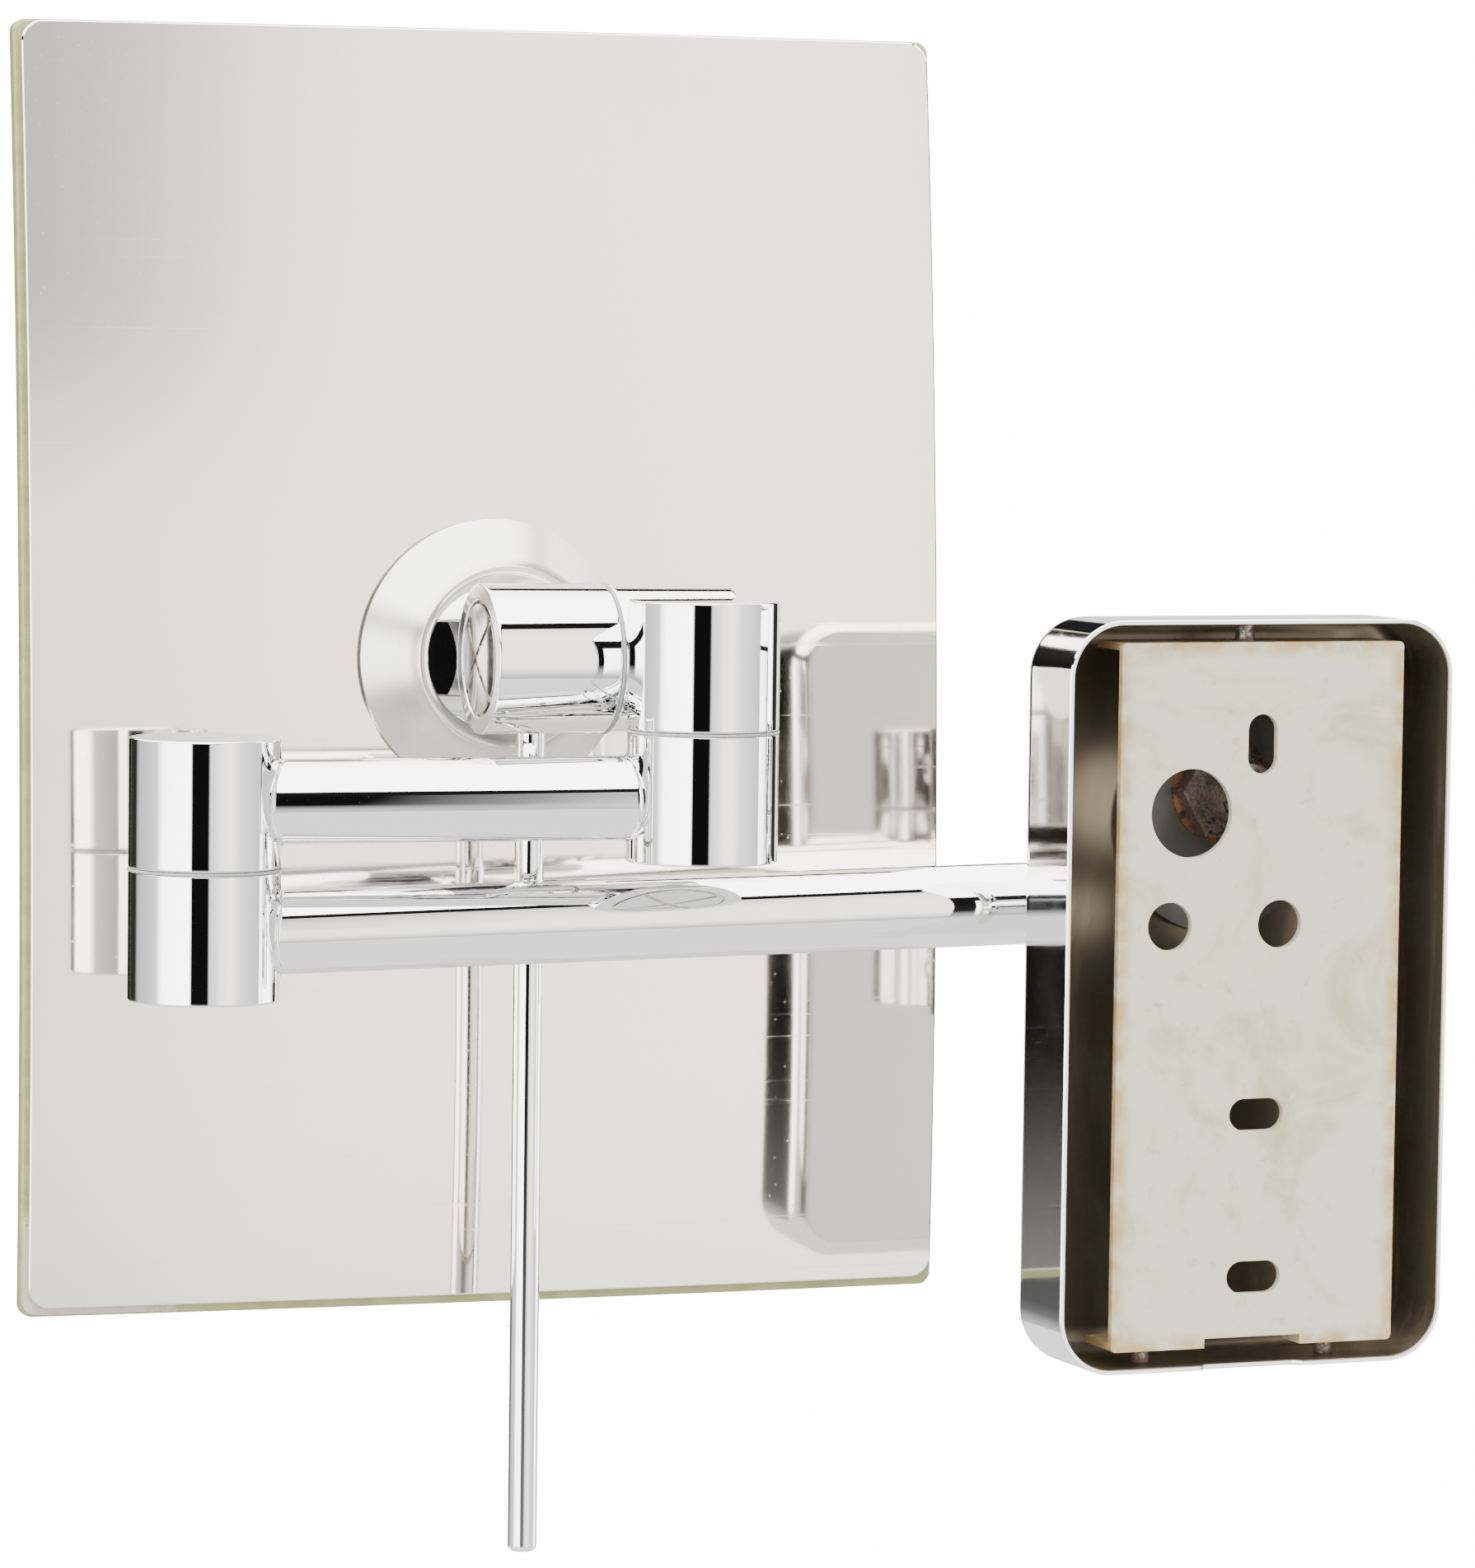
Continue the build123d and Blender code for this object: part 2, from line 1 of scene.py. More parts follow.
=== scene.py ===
"""Looks for the extendable shaving mirror: polished chrome, a polished back plate and a curved glass.

Every length below is in metres unless its name says millimetres. The frame is the CAD's: +Z up,
+Y into the wall, and the arm folds away along +X.
"""

import json
import math

import bpy
import numpy as np
from mathutils import Matrix


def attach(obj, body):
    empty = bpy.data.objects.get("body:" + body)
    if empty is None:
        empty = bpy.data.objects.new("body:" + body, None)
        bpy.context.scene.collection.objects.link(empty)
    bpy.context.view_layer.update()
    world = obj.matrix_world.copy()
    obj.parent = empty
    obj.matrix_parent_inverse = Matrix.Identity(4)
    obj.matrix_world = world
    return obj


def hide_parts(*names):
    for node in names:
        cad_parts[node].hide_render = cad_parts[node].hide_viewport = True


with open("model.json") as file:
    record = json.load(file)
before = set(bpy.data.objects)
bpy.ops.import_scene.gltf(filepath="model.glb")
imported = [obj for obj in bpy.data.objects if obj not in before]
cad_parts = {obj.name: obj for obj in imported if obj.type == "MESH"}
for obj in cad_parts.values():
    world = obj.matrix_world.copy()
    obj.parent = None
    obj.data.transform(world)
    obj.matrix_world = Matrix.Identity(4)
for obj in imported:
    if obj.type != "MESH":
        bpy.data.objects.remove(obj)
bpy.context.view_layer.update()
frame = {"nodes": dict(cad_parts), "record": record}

MM = 0.001


# ---------------------------------------------------------------- shader expressions


class Signal:
    """A number socket that adds Math nodes when it is used in an expression."""

    def __init__(self, graph, socket):
        self.graph = graph
        self.socket = socket

    def _math(self, operation, *values):
        settings = {"operation": operation}
        return self.graph.node("ShaderNodeMath", settings, dict(enumerate(values))).out()

    def __add__(self, other):
        return self._math("ADD", self, other)

    def __radd__(self, other):
        return self._math("ADD", other, self)

    def __sub__(self, other):
        return self._math("SUBTRACT", self, other)

    def __rsub__(self, other):
        return self._math("SUBTRACT", other, self)

    def __mul__(self, other):
        return self._math("MULTIPLY", self, other)

    def __rmul__(self, other):
        return self._math("MULTIPLY", other, self)

    def __truediv__(self, other):
        return self._math("DIVIDE", self, other)

    def __pow__(self, other):
        return self._math("POWER", self, other)

    def abs(self):
        return self._math("ABSOLUTE", self)

    def least(self, other):
        return self._math("MINIMUM", self, other)

    def most(self, other):
        return self._math("MAXIMUM", self, other)

    def angle_over(self, other):
        return self._math("ARCTAN2", self, other)

    def step(self, low, high, from_value=0.0, to_value=1.0):
        """A smooth step from one value to another as this signal goes from low to high."""
        settings = {"interpolation_type": "SMOOTHSTEP"}
        values = {0: self, 1: low, 2: high, 3: from_value, 4: to_value}
        return self.graph.node("ShaderNodeMapRange", settings, values).out()


class Placed:
    """A node with easy access to its outputs."""

    def __init__(self, graph, node):
        self.graph = graph
        self.node = node

    def out(self, name=0):
        return Signal(self.graph, self.node.outputs[name])


class Graph:
    """Adds nodes to one node tree."""

    def __init__(self, tree):
        self.tree = tree

    def node(self, kind, settings=None, values=None):
        """Add a node: its settings first, then its sockets' values or links."""
        node = self.tree.nodes.new(kind)
        for key, value in (settings or {}).items():
            if key == "stops":
                ramp = node.color_ramp
                while len(ramp.elements) < len(value):
                    ramp.elements.new(0.5)
                for element, (place, colour) in zip(ramp.elements, value):
                    element.position = place
                    element.color = colour if len(colour) == 4 else (*colour, 1.0)
            else:
                setattr(node, key, value)
        for key, value in (values or {}).items():
            socket = node.inputs[key]
            if isinstance(value, Signal):
                self.tree.links.new(value.socket, socket)
            else:
                socket.default_value = value
        return Placed(self, node)

    def coordinates(self):
        """The object's own coordinates, in metres."""
        return self.node("ShaderNodeTexCoord").out("Object")

    def parts(self, vector):
        """The X, Y and Z of a vector."""
        split = self.node("ShaderNodeSeparateXYZ", None, {0: vector})
        return split.out(0), split.out(1), split.out(2)

    def dot(self, vector, direction):
        """How far a vector reaches along a fixed direction."""
        settings = {"operation": "DOT_PRODUCT"}
        values = {0: vector, 1: tuple(float(v) for v in direction)}
        return self.node("ShaderNodeVectorMath", settings, values).out("Value")

    def stretch(self, vector, turn, scale):
        """A vector turned and then scaled axis by axis, for streaks and brushing."""
        values = {"Vector": vector, "Rotation": turn, "Scale": scale}
        return self.node("ShaderNodeMapping", None, values).out()

    def noise(self, vector, scale, detail=3.0, roughness=0.5, distortion=0.0):
        """Cloudy noise around 0.5."""
        values = {
            "Vector": vector,
            "Scale": scale,
            "Detail": detail,
            "Roughness": roughness,
            "Distortion": distortion,
        }
        return self.node("ShaderNodeTexNoise", None, values).out("Fac")

    def cells(self, vector, scale, feature="F1"):
        """Distance to the nearest of many scattered points."""
        settings = {"feature": feature}
        return self.node("ShaderNodeTexVoronoi", settings, {"Vector": vector, "Scale": scale}).out("Distance")

    def mix(self, amount, first, second):
        """A colour part of the way from one to another."""
        settings = {"data_type": "RGBA"}
        first = first if isinstance(first, Signal) else (*first, 1.0)
        second = second if isinstance(second, Signal) else (*second, 1.0)
        return self.node("ShaderNodeMix", settings, {0: amount, 6: first, 7: second}).out(2)

    def bump(self, height, distance, strength=1.0):
        """A surface normal tilted by a height."""
        values = {"Height": height, "Distance": distance, "Strength": strength}
        return self.node("ShaderNodeBump", None, values).out()


def material(name, recipe):
    """A material whose recipe fills the Principled shader's sockets."""
    finish = bpy.data.materials.new(name)
    finish.use_nodes = True
    tree = finish.node_tree
    tree.nodes.clear()
    graph = Graph(tree)
    shader = graph.node("ShaderNodeBsdfPrincipled", None, recipe(graph))
    graph.node("ShaderNodeOutputMaterial", None, {0: Signal(graph, shader.node.outputs[0])})
    return finish


# ---------------------------------------------------------------- finishes

# How much of the chrome's brightness is left under a finger mark
FILM_SHADE = 0.95
# Rings a metre in the spun dish
SPUN_RINGS = 5200.0
# Where the dried glue starts, measured from the middle of the glass, and how softly it ends
GLUE_ACROSS, GLUE_BELOW, GLUE_FADE = 50.0 * MM, 82.0 * MM, 3.0 * MM
# The bracket's golden bloom starts and ends at these distances from its middle
BLOOM_SIDE = (21.2 * MM, 24.0 * MM)
BLOOM_END = (52.0 * MM, 54.8 * MM)
# The wear in a plug's cross slot lies this far below the plug's face
SLOT_FLOOR, SLOT_SHOULDER = 1.05 * MM, 0.55 * MM

def polished_chrome(tint, base_roughness, smudge):
    """Bright plating with faint finger marks, a few wipe streaks and fine dust."""

    def recipe(g):
        place = g.coordinates()
        marks = g.noise(place, 42.0, 4.0, 0.62, 0.6).step(0.52, 0.72)
        wiped = g.noise(g.stretch(place, (0.3, 0.2, 0.5), (60.0, 60.0, 900.0)), 1.0, 2.0).step(0.5, 0.8)
        dust = 1.0 - g.cells(place, 900.0).step(0.06, 0.13)
        film = (marks * 0.6 + wiped * 0.25).least(1.0)
        ripple = g.noise(place, 18.0, 1.0)
        dull = tuple(channel * FILM_SHADE for channel in tint)
        return {
            "Base Color": g.mix(film * 0.7 + dust * 0.2, tint, dull),
            "Metallic": 1.0,
            "Roughness": base_roughness + film * smudge + dust * 0.05,
            "Normal": g.bump(ripple, 0.00004, 0.35),
        }

    return recipe


def satin_steel(g):
    """Spun stainless steel: fine rings about the dish's axis under a soft sheen."""
    place = g.coordinates()
    across = g.dot(place, head_x) - float(np.dot(neck, head_x))
    upward = g.dot(place, panel_up) - float(np.dot(neck, panel_up))
    radius = (across * across + upward * upward) ** 0.5
    one_way = {"noise_dimensions": "1D"}
    rings = g.node("ShaderNodeTexNoise", one_way, {"W": radius, "Scale": SPUN_RINGS}).out("Fac")
    cloud = g.noise(place, 90.0, 3.0)
    light_steel, dark_steel = (0.72, 0.705, 0.675), (0.62, 0.605, 0.58)
    return {
        "Base Color": g.mix(cloud.step(0.35, 0.7), light_steel, dark_steel),
        "Metallic": 1.0,
        "Roughness": 0.23 + rings * 0.07 + cloud * 0.05,
        "Normal": g.bump(rings, 0.00002, 0.4),
    }


def plate_steel(g):
    """Mirror-polished sheet with hairline scratches, fine dust and a trace of haze."""
    place = g.coordinates()
    hair = 0.0
    scratch_runs = ((0.4, 1100.0), (1.9, 900.0), (2.6, 1300.0))
    for turn, density in scratch_runs:
        lines = g.noise(g.stretch(place, (0.0, turn, 0.1), (14.0, 14.0, density)), 1.0, 1.0)
        hair = lines.step(0.70, 0.78) + hair
    dust = 1.0 - g.cells(place, 620.0).step(0.05, 0.12)
    haze = g.noise(place, 16.0, 4.0, 0.6, 0.8).step(0.4, 0.75)
    clean, hazed, dust_grey = (0.86, 0.825, 0.755), (0.83, 0.79, 0.715), (0.62, 0.57, 0.50)
    return {
        "Base Color": g.mix(dust * 0.10, g.mix(haze, clean, hazed), dust_grey),
        "Metallic": 1.0 - dust * 0.15,
        "Roughness": 0.045 + haze * 0.03 + hair * 0.05 + dust * 0.12,
        "Normal": g.bump(1.0 - hair * 0.1, 0.00004, 0.5),
    }


def glass_edge(g):
    """The ground edge of the glass: olive green, darker in the depth, with tiny chips."""
    place = g.coordinates()
    cloud = g.noise(place, 260.0, 4.0, 0.6)
    chips = 1.0 - g.cells(place, 1500.0).step(0.10, 0.25)
    olive, deep_olive, chip_green = (0.27, 0.285, 0.10), (0.20, 0.22, 0.07), (0.42, 0.44, 0.25)
    tone = g.mix(cloud.step(0.3, 0.7), olive, deep_olive)
    return {
        "Base Color": g.mix(chips * 0.3, tone, chip_green),
        "Metallic": 0.0,
        "Roughness": 0.16 + cloud * 0.14 + chips * 0.2,
        "IOR": 1.52,
        "Coat Weight": 0.25,
        "Coat Roughness": 0.2,
        "Normal": g.bump(cloud, 0.00006, 0.5),
    }


def silvered_glass(g):
    """The reflecting face: clear, with a trace of wiping haze and specks."""
    place = g.coordinates()
    haze = g.noise(place, 11.0, 3.0, 0.55, 0.5).step(0.45, 0.8)
    specks = 1.0 - g.cells(place, 420.0).step(0.03, 0.07)
    silver, dull_silver = (0.90, 0.915, 0.90), (0.85, 0.865, 0.85)
    return {
        "Base Color": g.mix(haze * 0.5 + specks * 0.2, silver, dull_silver),
        "Metallic": 1.0,
        "Roughness": 0.012 + haze * 0.02 + specks * 0.2,
        "IOR": 1.52,
    }


def bare_glass(g):
    """The glass's back margin outside the plate: olive glass, with dried glue in one lower corner."""
    place = g.coordinates()
    across = g.dot(place, head_x) - float(np.dot(panel_middle, head_x))
    upward = g.dot(place, panel_up) - float(np.dot(panel_middle, panel_up))
    cloud = g.noise(place, 260.0, 4.0, 0.6)
    ragged = (g.noise(place, 150.0, 5.0, 0.7) - 0.5) * 0.03
    beside = (across - GLUE_ACROSS + ragged).step(0.0, GLUE_FADE)
    below = (0.0 - upward - GLUE_BELOW + ragged).step(0.0, GLUE_FADE)
    corner = beside * below
    glue = corner * g.noise(place, 420.0, 3.0, 0.6).step(0.30, 0.45)
    olive, deep_olive, glue_beige = (0.34, 0.355, 0.145), (0.26, 0.28, 0.10), (0.56, 0.50, 0.42)
    tone = g.mix(cloud.step(0.3, 0.7), olive, deep_olive)
    return {
        "Base Color": g.mix(glue * 0.9, tone, glue_beige),
        "Metallic": 0.0,
        "Roughness": 0.30 + cloud * 0.2 + glue * 0.3,
        "Coat Weight": 0.12 - glue * 0.12,
        "Normal": g.bump(glue * cloud, 0.0003, 0.5),
    }


def adhesive_foam(g):
    """Beige mounting adhesive with small pores."""
    place = g.coordinates()
    pores = g.cells(place, 1400.0)
    cloud = g.noise(place, 130.0, 4.0)
    beige, deep_beige = (0.58, 0.54, 0.47), (0.45, 0.41, 0.35)
    return {
        "Base Color": g.mix(cloud, beige, deep_beige),
        "Roughness": 0.75 + cloud * 0.2,
        "Normal": g.bump(pores, 0.0003, 0.6),
    }


def nylon(g):
    """Grey nylon thrust rings, slightly mottled."""
    place = g.coordinates()
    cloud = g.noise(place, 500.0, 3.0)
    grey, dark_grey = (0.38, 0.39, 0.39), (0.26, 0.27, 0.27)
    return {
        "Base Color": g.mix(cloud, grey, dark_grey),
        "Roughness": 0.38 + cloud * 0.2,
        "Normal": g.bump(cloud, 0.00003, 0.5),
    }


def zinc_plate(g):
    """Dull zinc with tan staining and a golden bloom along the sheared edges."""
    place = g.coordinates()
    x, _, z = g.parts(place)
    stain = g.noise(place, 46.0, 6.0, 0.65, 1.2).step(0.45, 0.72)
    spots = g.noise(place, 320.0, 4.0, 0.7).step(0.56, 0.74)
    edge = x.abs().step(*BLOOM_SIDE).most(z.abs().step(*BLOOM_END))
    bloom = edge * g.noise(place, 210.0, 3.0).step(0.3, 0.6)
    cream, tan, brown, gold = (0.60, 0.575, 0.43), (0.40, 0.32, 0.17), (0.30, 0.24, 0.13), (0.42, 0.27, 0.09)
    base = g.mix(stain * 0.7, cream, tan)
    base = g.mix(spots * 0.4, base, brown)
    return {
        "Base Color": g.mix(bloom * 0.85, base, gold),
        "Metallic": 0.45 - stain * 0.2,
        "Roughness": 0.40 + stain * 0.2 + spots * 0.12,
        "Normal": g.bump(g.noise(place, 900.0, 3.0) + stain * 0.4, 0.00005, 0.5),
    }


def dull_zinc(g):
    """Aged grey zinc on the washer deep inside the box."""
    cloud = g.noise(g.coordinates(), 240.0, 4.0, 0.6)
    grey, dark_grey = (0.24, 0.24, 0.215), (0.15, 0.15, 0.13)
    return {
        "Base Color": g.mix(cloud, grey, dark_grey),
        "Metallic": 0.6,
        "Roughness": 0.42 + cloud * 0.2,
    }


def cover_inside(g):
    """The box's unplated inside: satin bronze brown with runs of lighter flash plating."""
    place = g.coordinates()
    cloud = g.noise(g.stretch(place, (0.0, 0.0, 0.0), (70.0, 160.0, 22.0)), 1.0, 5.0, 0.6, 0.8)
    flash = cloud.step(0.52, 0.78)
    bronze, light_bronze = (0.22, 0.185, 0.135), (0.38, 0.32, 0.22)
    return {
        "Base Color": g.mix(flash, bronze, light_bronze),
        "Metallic": 0.9,
        "Roughness": 0.30 + cloud * 0.16,
        "Normal": g.bump(cloud, 0.0002, 0.35),
    }


def rusty_steel(g):
    """A dark nut with rust in patches."""
    place = g.coordinates()
    rust = g.noise(place, 900.0, 5.0, 0.7).step(0.42, 0.62)
    dark_steel, rust_brown = (0.30, 0.275, 0.25), (0.16, 0.09, 0.055)
    return {
        "Base Color": g.mix(rust, dark_steel, rust_brown),
        "Metallic": 1.0 - rust * 0.75,
        "Roughness": 0.35 + rust * 0.4,
        "Normal": g.bump(rust, 0.0001, 0.6),
    }


def copper_washer(g):
    """Dull copper plating with brown tarnish."""
    place = g.coordinates()
    tarnish = g.noise(place, 380.0, 4.0, 0.6).step(0.4, 0.7)
    bright_copper, brown_copper = (0.72, 0.40, 0.22), (0.36, 0.19, 0.10)
    return {
        "Base Color": g.mix(tarnish, bright_copper, brown_copper),
        "Metallic": 0.9,
        "Roughness": 0.35 + tarnish * 0.25,
        "Normal": g.bump(tarnish, 0.00004, 0.5),
    }


def turned_steel(g):
    """Plain machined steel with fine tool marks."""
    place = g.coordinates()
    lines = g.noise(g.stretch(place, (0.0, 0.0, 0.0), (300.0, 5000.0, 300.0)), 1.0, 2.0)
    cloud = g.noise(place, 240.0, 3.0)
    light_steel, dark_steel = (0.62, 0.61, 0.59), (0.50, 0.48, 0.45)
    return {
        "Base Color": g.mix(cloud, light_steel, dark_steel),
        "Metallic": 1.0,
        "Roughness": 0.26 + lines * 0.14,
        "Normal": g.bump(lines, 0.00003, 0.5),
    }


def cap_finish(plane):
    """Chrome on a slotted plug, with brassy wear inside its cross slot."""

    def recipe(g):
        place = g.coordinates()
        depth = g.dot(place, plane["z"]) - float(np.dot(plane["origin"], plane["z"]))
        face = plane["cap_face"]
        low = 1.0 - depth.step(face - SLOT_FLOOR, face - SLOT_SHOULDER)
        cloud = g.noise(place, 300.0, 4.0, 0.6)
        worn = low * cloud.step(0.3, 0.6)
        bright, brassy = (0.80, 0.80, 0.80), (0.42, 0.30, 0.17)
        return {
            "Base Color": g.mix(worn * 0.8, bright, brassy),
            "Metallic": 1.0,
            "Roughness": 0.07 + cloud * 0.05 + worn * 0.3,
            "Normal": g.bump(cloud, 0.00003, 0.4),
        }

    return recipe


# ---------------------------------------------------------------- places from the record


joints = {joint["name"]: joint for joint in frame["record"]["behaviour"]["joints"]}


def joint_place(name):
    return np.array(joints[name]["pos_m"], dtype=float)


def unit(vector):
    return np.asarray(vector, dtype=float) / np.linalg.norm(vector)


UP = np.array([0.0, 0.0, 1.0])
wall_hinge = joint_place("wall_swivel")
elbow = joint_place("elbow_swivel")
swivel = joint_place("mirror_swivel")
tilt = joint_place("mirror_tilt")
head_x = unit(joints["mirror_tilt"]["axis"])
head_back = np.cross(UP, head_x)

BARREL_RADIUS = 11.7 * MM
BARREL_HALF = 19.9 * MM
JOINT_GAP = 0.45 * MM
TUBE_RADIUS = 6.5 * MM
PIN_BORE = 3.05 * MM
CAVITY_RADIUS = 9.0 * MM
STEP = BARREL_HALF + JOINT_GAP
PANEL_TILT = math.radians(2.8)
PLATE_DISTANCE = 22.3 * MM
PLATE_RADIUS = 1220.0 * MM
PANEL_DROP = 1.5 * MM
NECK_SHIFT = 0.95 * MM
BOSS_STEP = 18.4 * MM
PLATE_THICKNESS = 1.2 * MM
PAD_THICKNESS = 0.8 * MM
GLASS_THICKNESS = 3.0 * MM

rod_top = tilt + head_x * STEP
neck = rod_top + head_x * NECK_SHIFT
panel_out = -head_back * math.cos(PANEL_TILT) - UP * math.sin(PANEL_TILT)
panel_up = np.cross(panel_out, head_x)
panel_middle = rod_top - panel_up * PANEL_DROP


def plane(origin, x, z):
    """A right-handed set of axes at a point, with X as near as can be to the one given."""
    z = unit(z)
    x = np.asarray(x, dtype=float)
    x = unit(x - z * float(np.dot(x, z)))
    return {"origin": np.asarray(origin, dtype=float), "x": x, "y": np.cross(z, x), "z": z}


def placed(axes, x, y, z):
    """Points given by their coordinates on a plane's axes, as an array of shape (..., 3)."""
    x, y, z = np.broadcast_arrays(x, y, z)
    return (
        axes["origin"]
        + x[..., None] * axes["x"]
        + y[..., None] * axes["y"]
        + z[..., None] * axes["z"]
    )


# ---------------------------------------------------------------- meshes


def build_mesh(name, points, faces, parts=None, finishes=(), sharp=28.0):
    """Make a smooth-shaded closed mesh, turned outwards, with creases where faces meet sharply."""
    points = np.asarray(points, dtype=float)
    flat = [face for group in faces for face in group.tolist()]
    labels = np.concatenate(
        [np.full(len(group), label) for group, label in zip(faces, parts or [0] * len(faces))]
    )
    volume = 0.0
    for group in faces:
        a = points[group[:, 0]]
        for k in range(1, group.shape[1] - 1):
            volume += np.einsum("ij,ij->i", a, np.cross(points[group[:, k]], points[group[:, k + 1]])).sum()
    if volume < 0:
        flat = [face[::-1] for face in flat]
    mesh = bpy.data.meshes.new(name)
    mesh.from_pydata(points.tolist(), [], flat)
    for finish in finishes:
        mesh.materials.append(finish)
    mesh.polygons.foreach_set("material_index", labels.astype(np.int32))
    mesh.polygons.foreach_set("use_smooth", np.ones(len(flat), dtype=bool))
    mesh.set_sharp_from_angle(angle=math.radians(sharp))
    mesh.update()
    piece = bpy.data.objects.new(name, mesh)
    bpy.context.scene.collection.objects.link(piece)
    return piece


def ring_quads(rows, around):
    """Quads between neighbouring rings of points, each ring closed on itself."""
    row, step = np.meshgrid(np.arange(rows - 1), np.arange(around), indexing="ij")
    following = (step + 1) % around
    here, beyond = row * around, (row + 1) * around
    quads = np.stack([here + step, here + following, beyond + following, beyond + step], axis=-1)
    return quads.reshape(-1, 4)


def capped_rings(name, rings, first_pole, last_pole, row_parts=None, finishes=(), sharp=28.0):
    """Join rings of points (rows, around, 3) into a closed skin with a pole at each end."""
    rows, around, _ = rings.shape
    quads = ring_quads(rows, around)
    points = np.concatenate([rings.reshape(-1, 3), [first_pole, last_pole]])
    step = np.arange(around)
    following = (step + 1) % around
    start = np.stack([np.full(around, rows * around), following, step], axis=-1)
    base = (rows - 1) * around
    end = np.stack([np.full(around, rows * around + 1), base + step, base + following], axis=-1)
    if row_parts is None:
        return build_mesh(name, points, [quads, start, end], None, finishes, sharp)
    groups = [quads[k * around:(k + 1) * around] for k in range(rows - 1)] + [start, end]
    labels = list(row_parts) + [row_parts[0], row_parts[-1]]
    return build_mesh(name, points, groups, labels, finishes, sharp)


# The most of a run that one corner's arc and its support point may take
ARC_SHARE, SUPPORT_SHARE = 0.4, 0.1


def eased(corners, radius, steps=5, support=0.25 * MM, closed=False):
    """A profile through corners of (r, h), each corner but the ends replaced by a small arc.

    Each arc touches both runs, and a support point lies just beyond each of its ends, so that
    smooth shading stays flat along the runs.
    """
    corners = [np.array(c, dtype=float) for c in corners]
    count = len(corners)
    line = []
    for k, corner in enumerate(corners):
        if not closed and k in (0, count - 1):
            line.append(corner)
            continue
        before, after = corners[k - 1], corners[(k + 1) % count]
        a, b = unit(before - corner), unit(after - corner)
        shorter = min(np.linalg.norm(before - corner), np.linalg.norm(after - corner))
        half = math.acos(float(np.clip(a @ b, -1, 1))) / 2
        reach = min(radius / math.tan(half), ARC_SHARE * shorter)
        rounding = reach * math.tan(half)
        centre = corner + unit(a + b) * (rounding / math.sin(half))
        swing = math.pi - 2 * half
        start = corner + a * reach - centre
        side = corner + b * reach - centre
        extra = min(support, SUPPORT_SHARE * shorter)
        line.append(corner + a * (reach + extra))
        t = np.linspace(0, 1, steps + 1)
        arc = np.sin((1 - t) * swing)[:, None] * start + np.sin(t * swing)[:, None] * side
        line.extend(centre + arc / math.sin(swing) if math.sin(swing) > 1e-6 else [corner])
        line.append(corner + b * (reach + extra))
    return np.array(line)


def lathe(name, axes, profile, finish, around=128, closed=False, sharp=28.0):
    """Turn a profile of (r, h) about a plane's normal: x = r cos a, y = r sin a, z = h.

    An open profile runs from the axis to the axis, and a closed one is a ring's section.
    """
    angle = np.arange(around) * (2 * math.pi / around)
    if closed:
        loop = np.concatenate([profile, profile[:1]])
        radius, height = loop[:, 0][:, None], loop[:, 1][:, None]
        rings = placed(axes, radius * np.cos(angle), radius * np.sin(angle), height + 0 * angle)
        rows = len(profile)
        quads = ring_quads(rows + 1, around) % (rows * around)
        return build_mesh(name, rings[:-1].reshape(-1, 3), [quads], None, [finish], sharp)
    inner = profile[1:-1]
    radius, height = inner[:, 0][:, None], inner[:, 1][:, None]
    rings = placed(axes, radius * np.cos(angle), radius * np.sin(angle), height + 0 * angle)
    first = placed(axes, 0.0, 0.0, profile[0][1])
    last = placed(axes, 0.0, 0.0, profile[-1][1])
    return capped_rings(name, rings, first, last, None, [finish], sharp)


def show(piece, body, slot, *nodes):
    """Fasten a finished piece to its body and let it stand for its CAD nodes."""
    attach(piece, body)
    if nodes:
        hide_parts(*nodes)
    return piece


# ---------------------------------------------------------------- finishes made once

CHROME_TINT, COVER_TINT = (0.86, 0.865, 0.87), (0.84, 0.84, 0.84)
chrome = material("polished_chrome", polished_chrome(CHROME_TINT, 0.022, 0.035))
cover_chrome = material("cover_chrome", polished_chrome(COVER_TINT, 0.05, 0.06))
dish_steel = material("satin_steel", satin_steel)
plate_finish = material("polished_plate", plate_steel)
edge_finish = material("glass_edge", glass_edge)
silver_finish = material("silvered_glass", silvered_glass)
margin_finish = material("bare_glass", bare_glass)
pad_finish = material("adhesive", adhesive_foam)
ring_finish = material("nylon", nylon)
zinc = material("zinc", zinc_plate)
grey_zinc = material("dull_zinc", dull_zinc)
inside_finish = material("cover_inside", cover_inside)
nut_finish = material("rusty_steel", rusty_steel)
copper = material("copper", copper_washer)
steel = material("turned_steel", turned_steel)


def repaint(node_name, finish):
    """Give a CAD node that stays in sight its finish."""
    holder = frame["nodes"][node_name].data.materials
    holder.clear()
    holder.append(finish)


for node_name, finish in {
    "mounting_bracket": zinc,
    "stiffener_disc": grey_zinc,
    "box_nipple": nut_finish,
    "nipple_nut": nut_finish,
    "toothed_washer": copper,
    "cover_screws": nut_finish,
    "hinge_screw": steel,
    "wall_pin": steel,
    "wall_spring": steel,
    "elbow_pin": steel,
    "elbow_spring": steel,
    "swivel_pin": steel,
    "swivel_spring": steel,
    "tilt_pin": steel,
    "tilt_spring": steel,
    "flange_screws": steel,
    "neck_block": chrome,
}.items():
    repaint(node_name, finish)


# ---------------------------------------------------------------- barrels, rings, caps

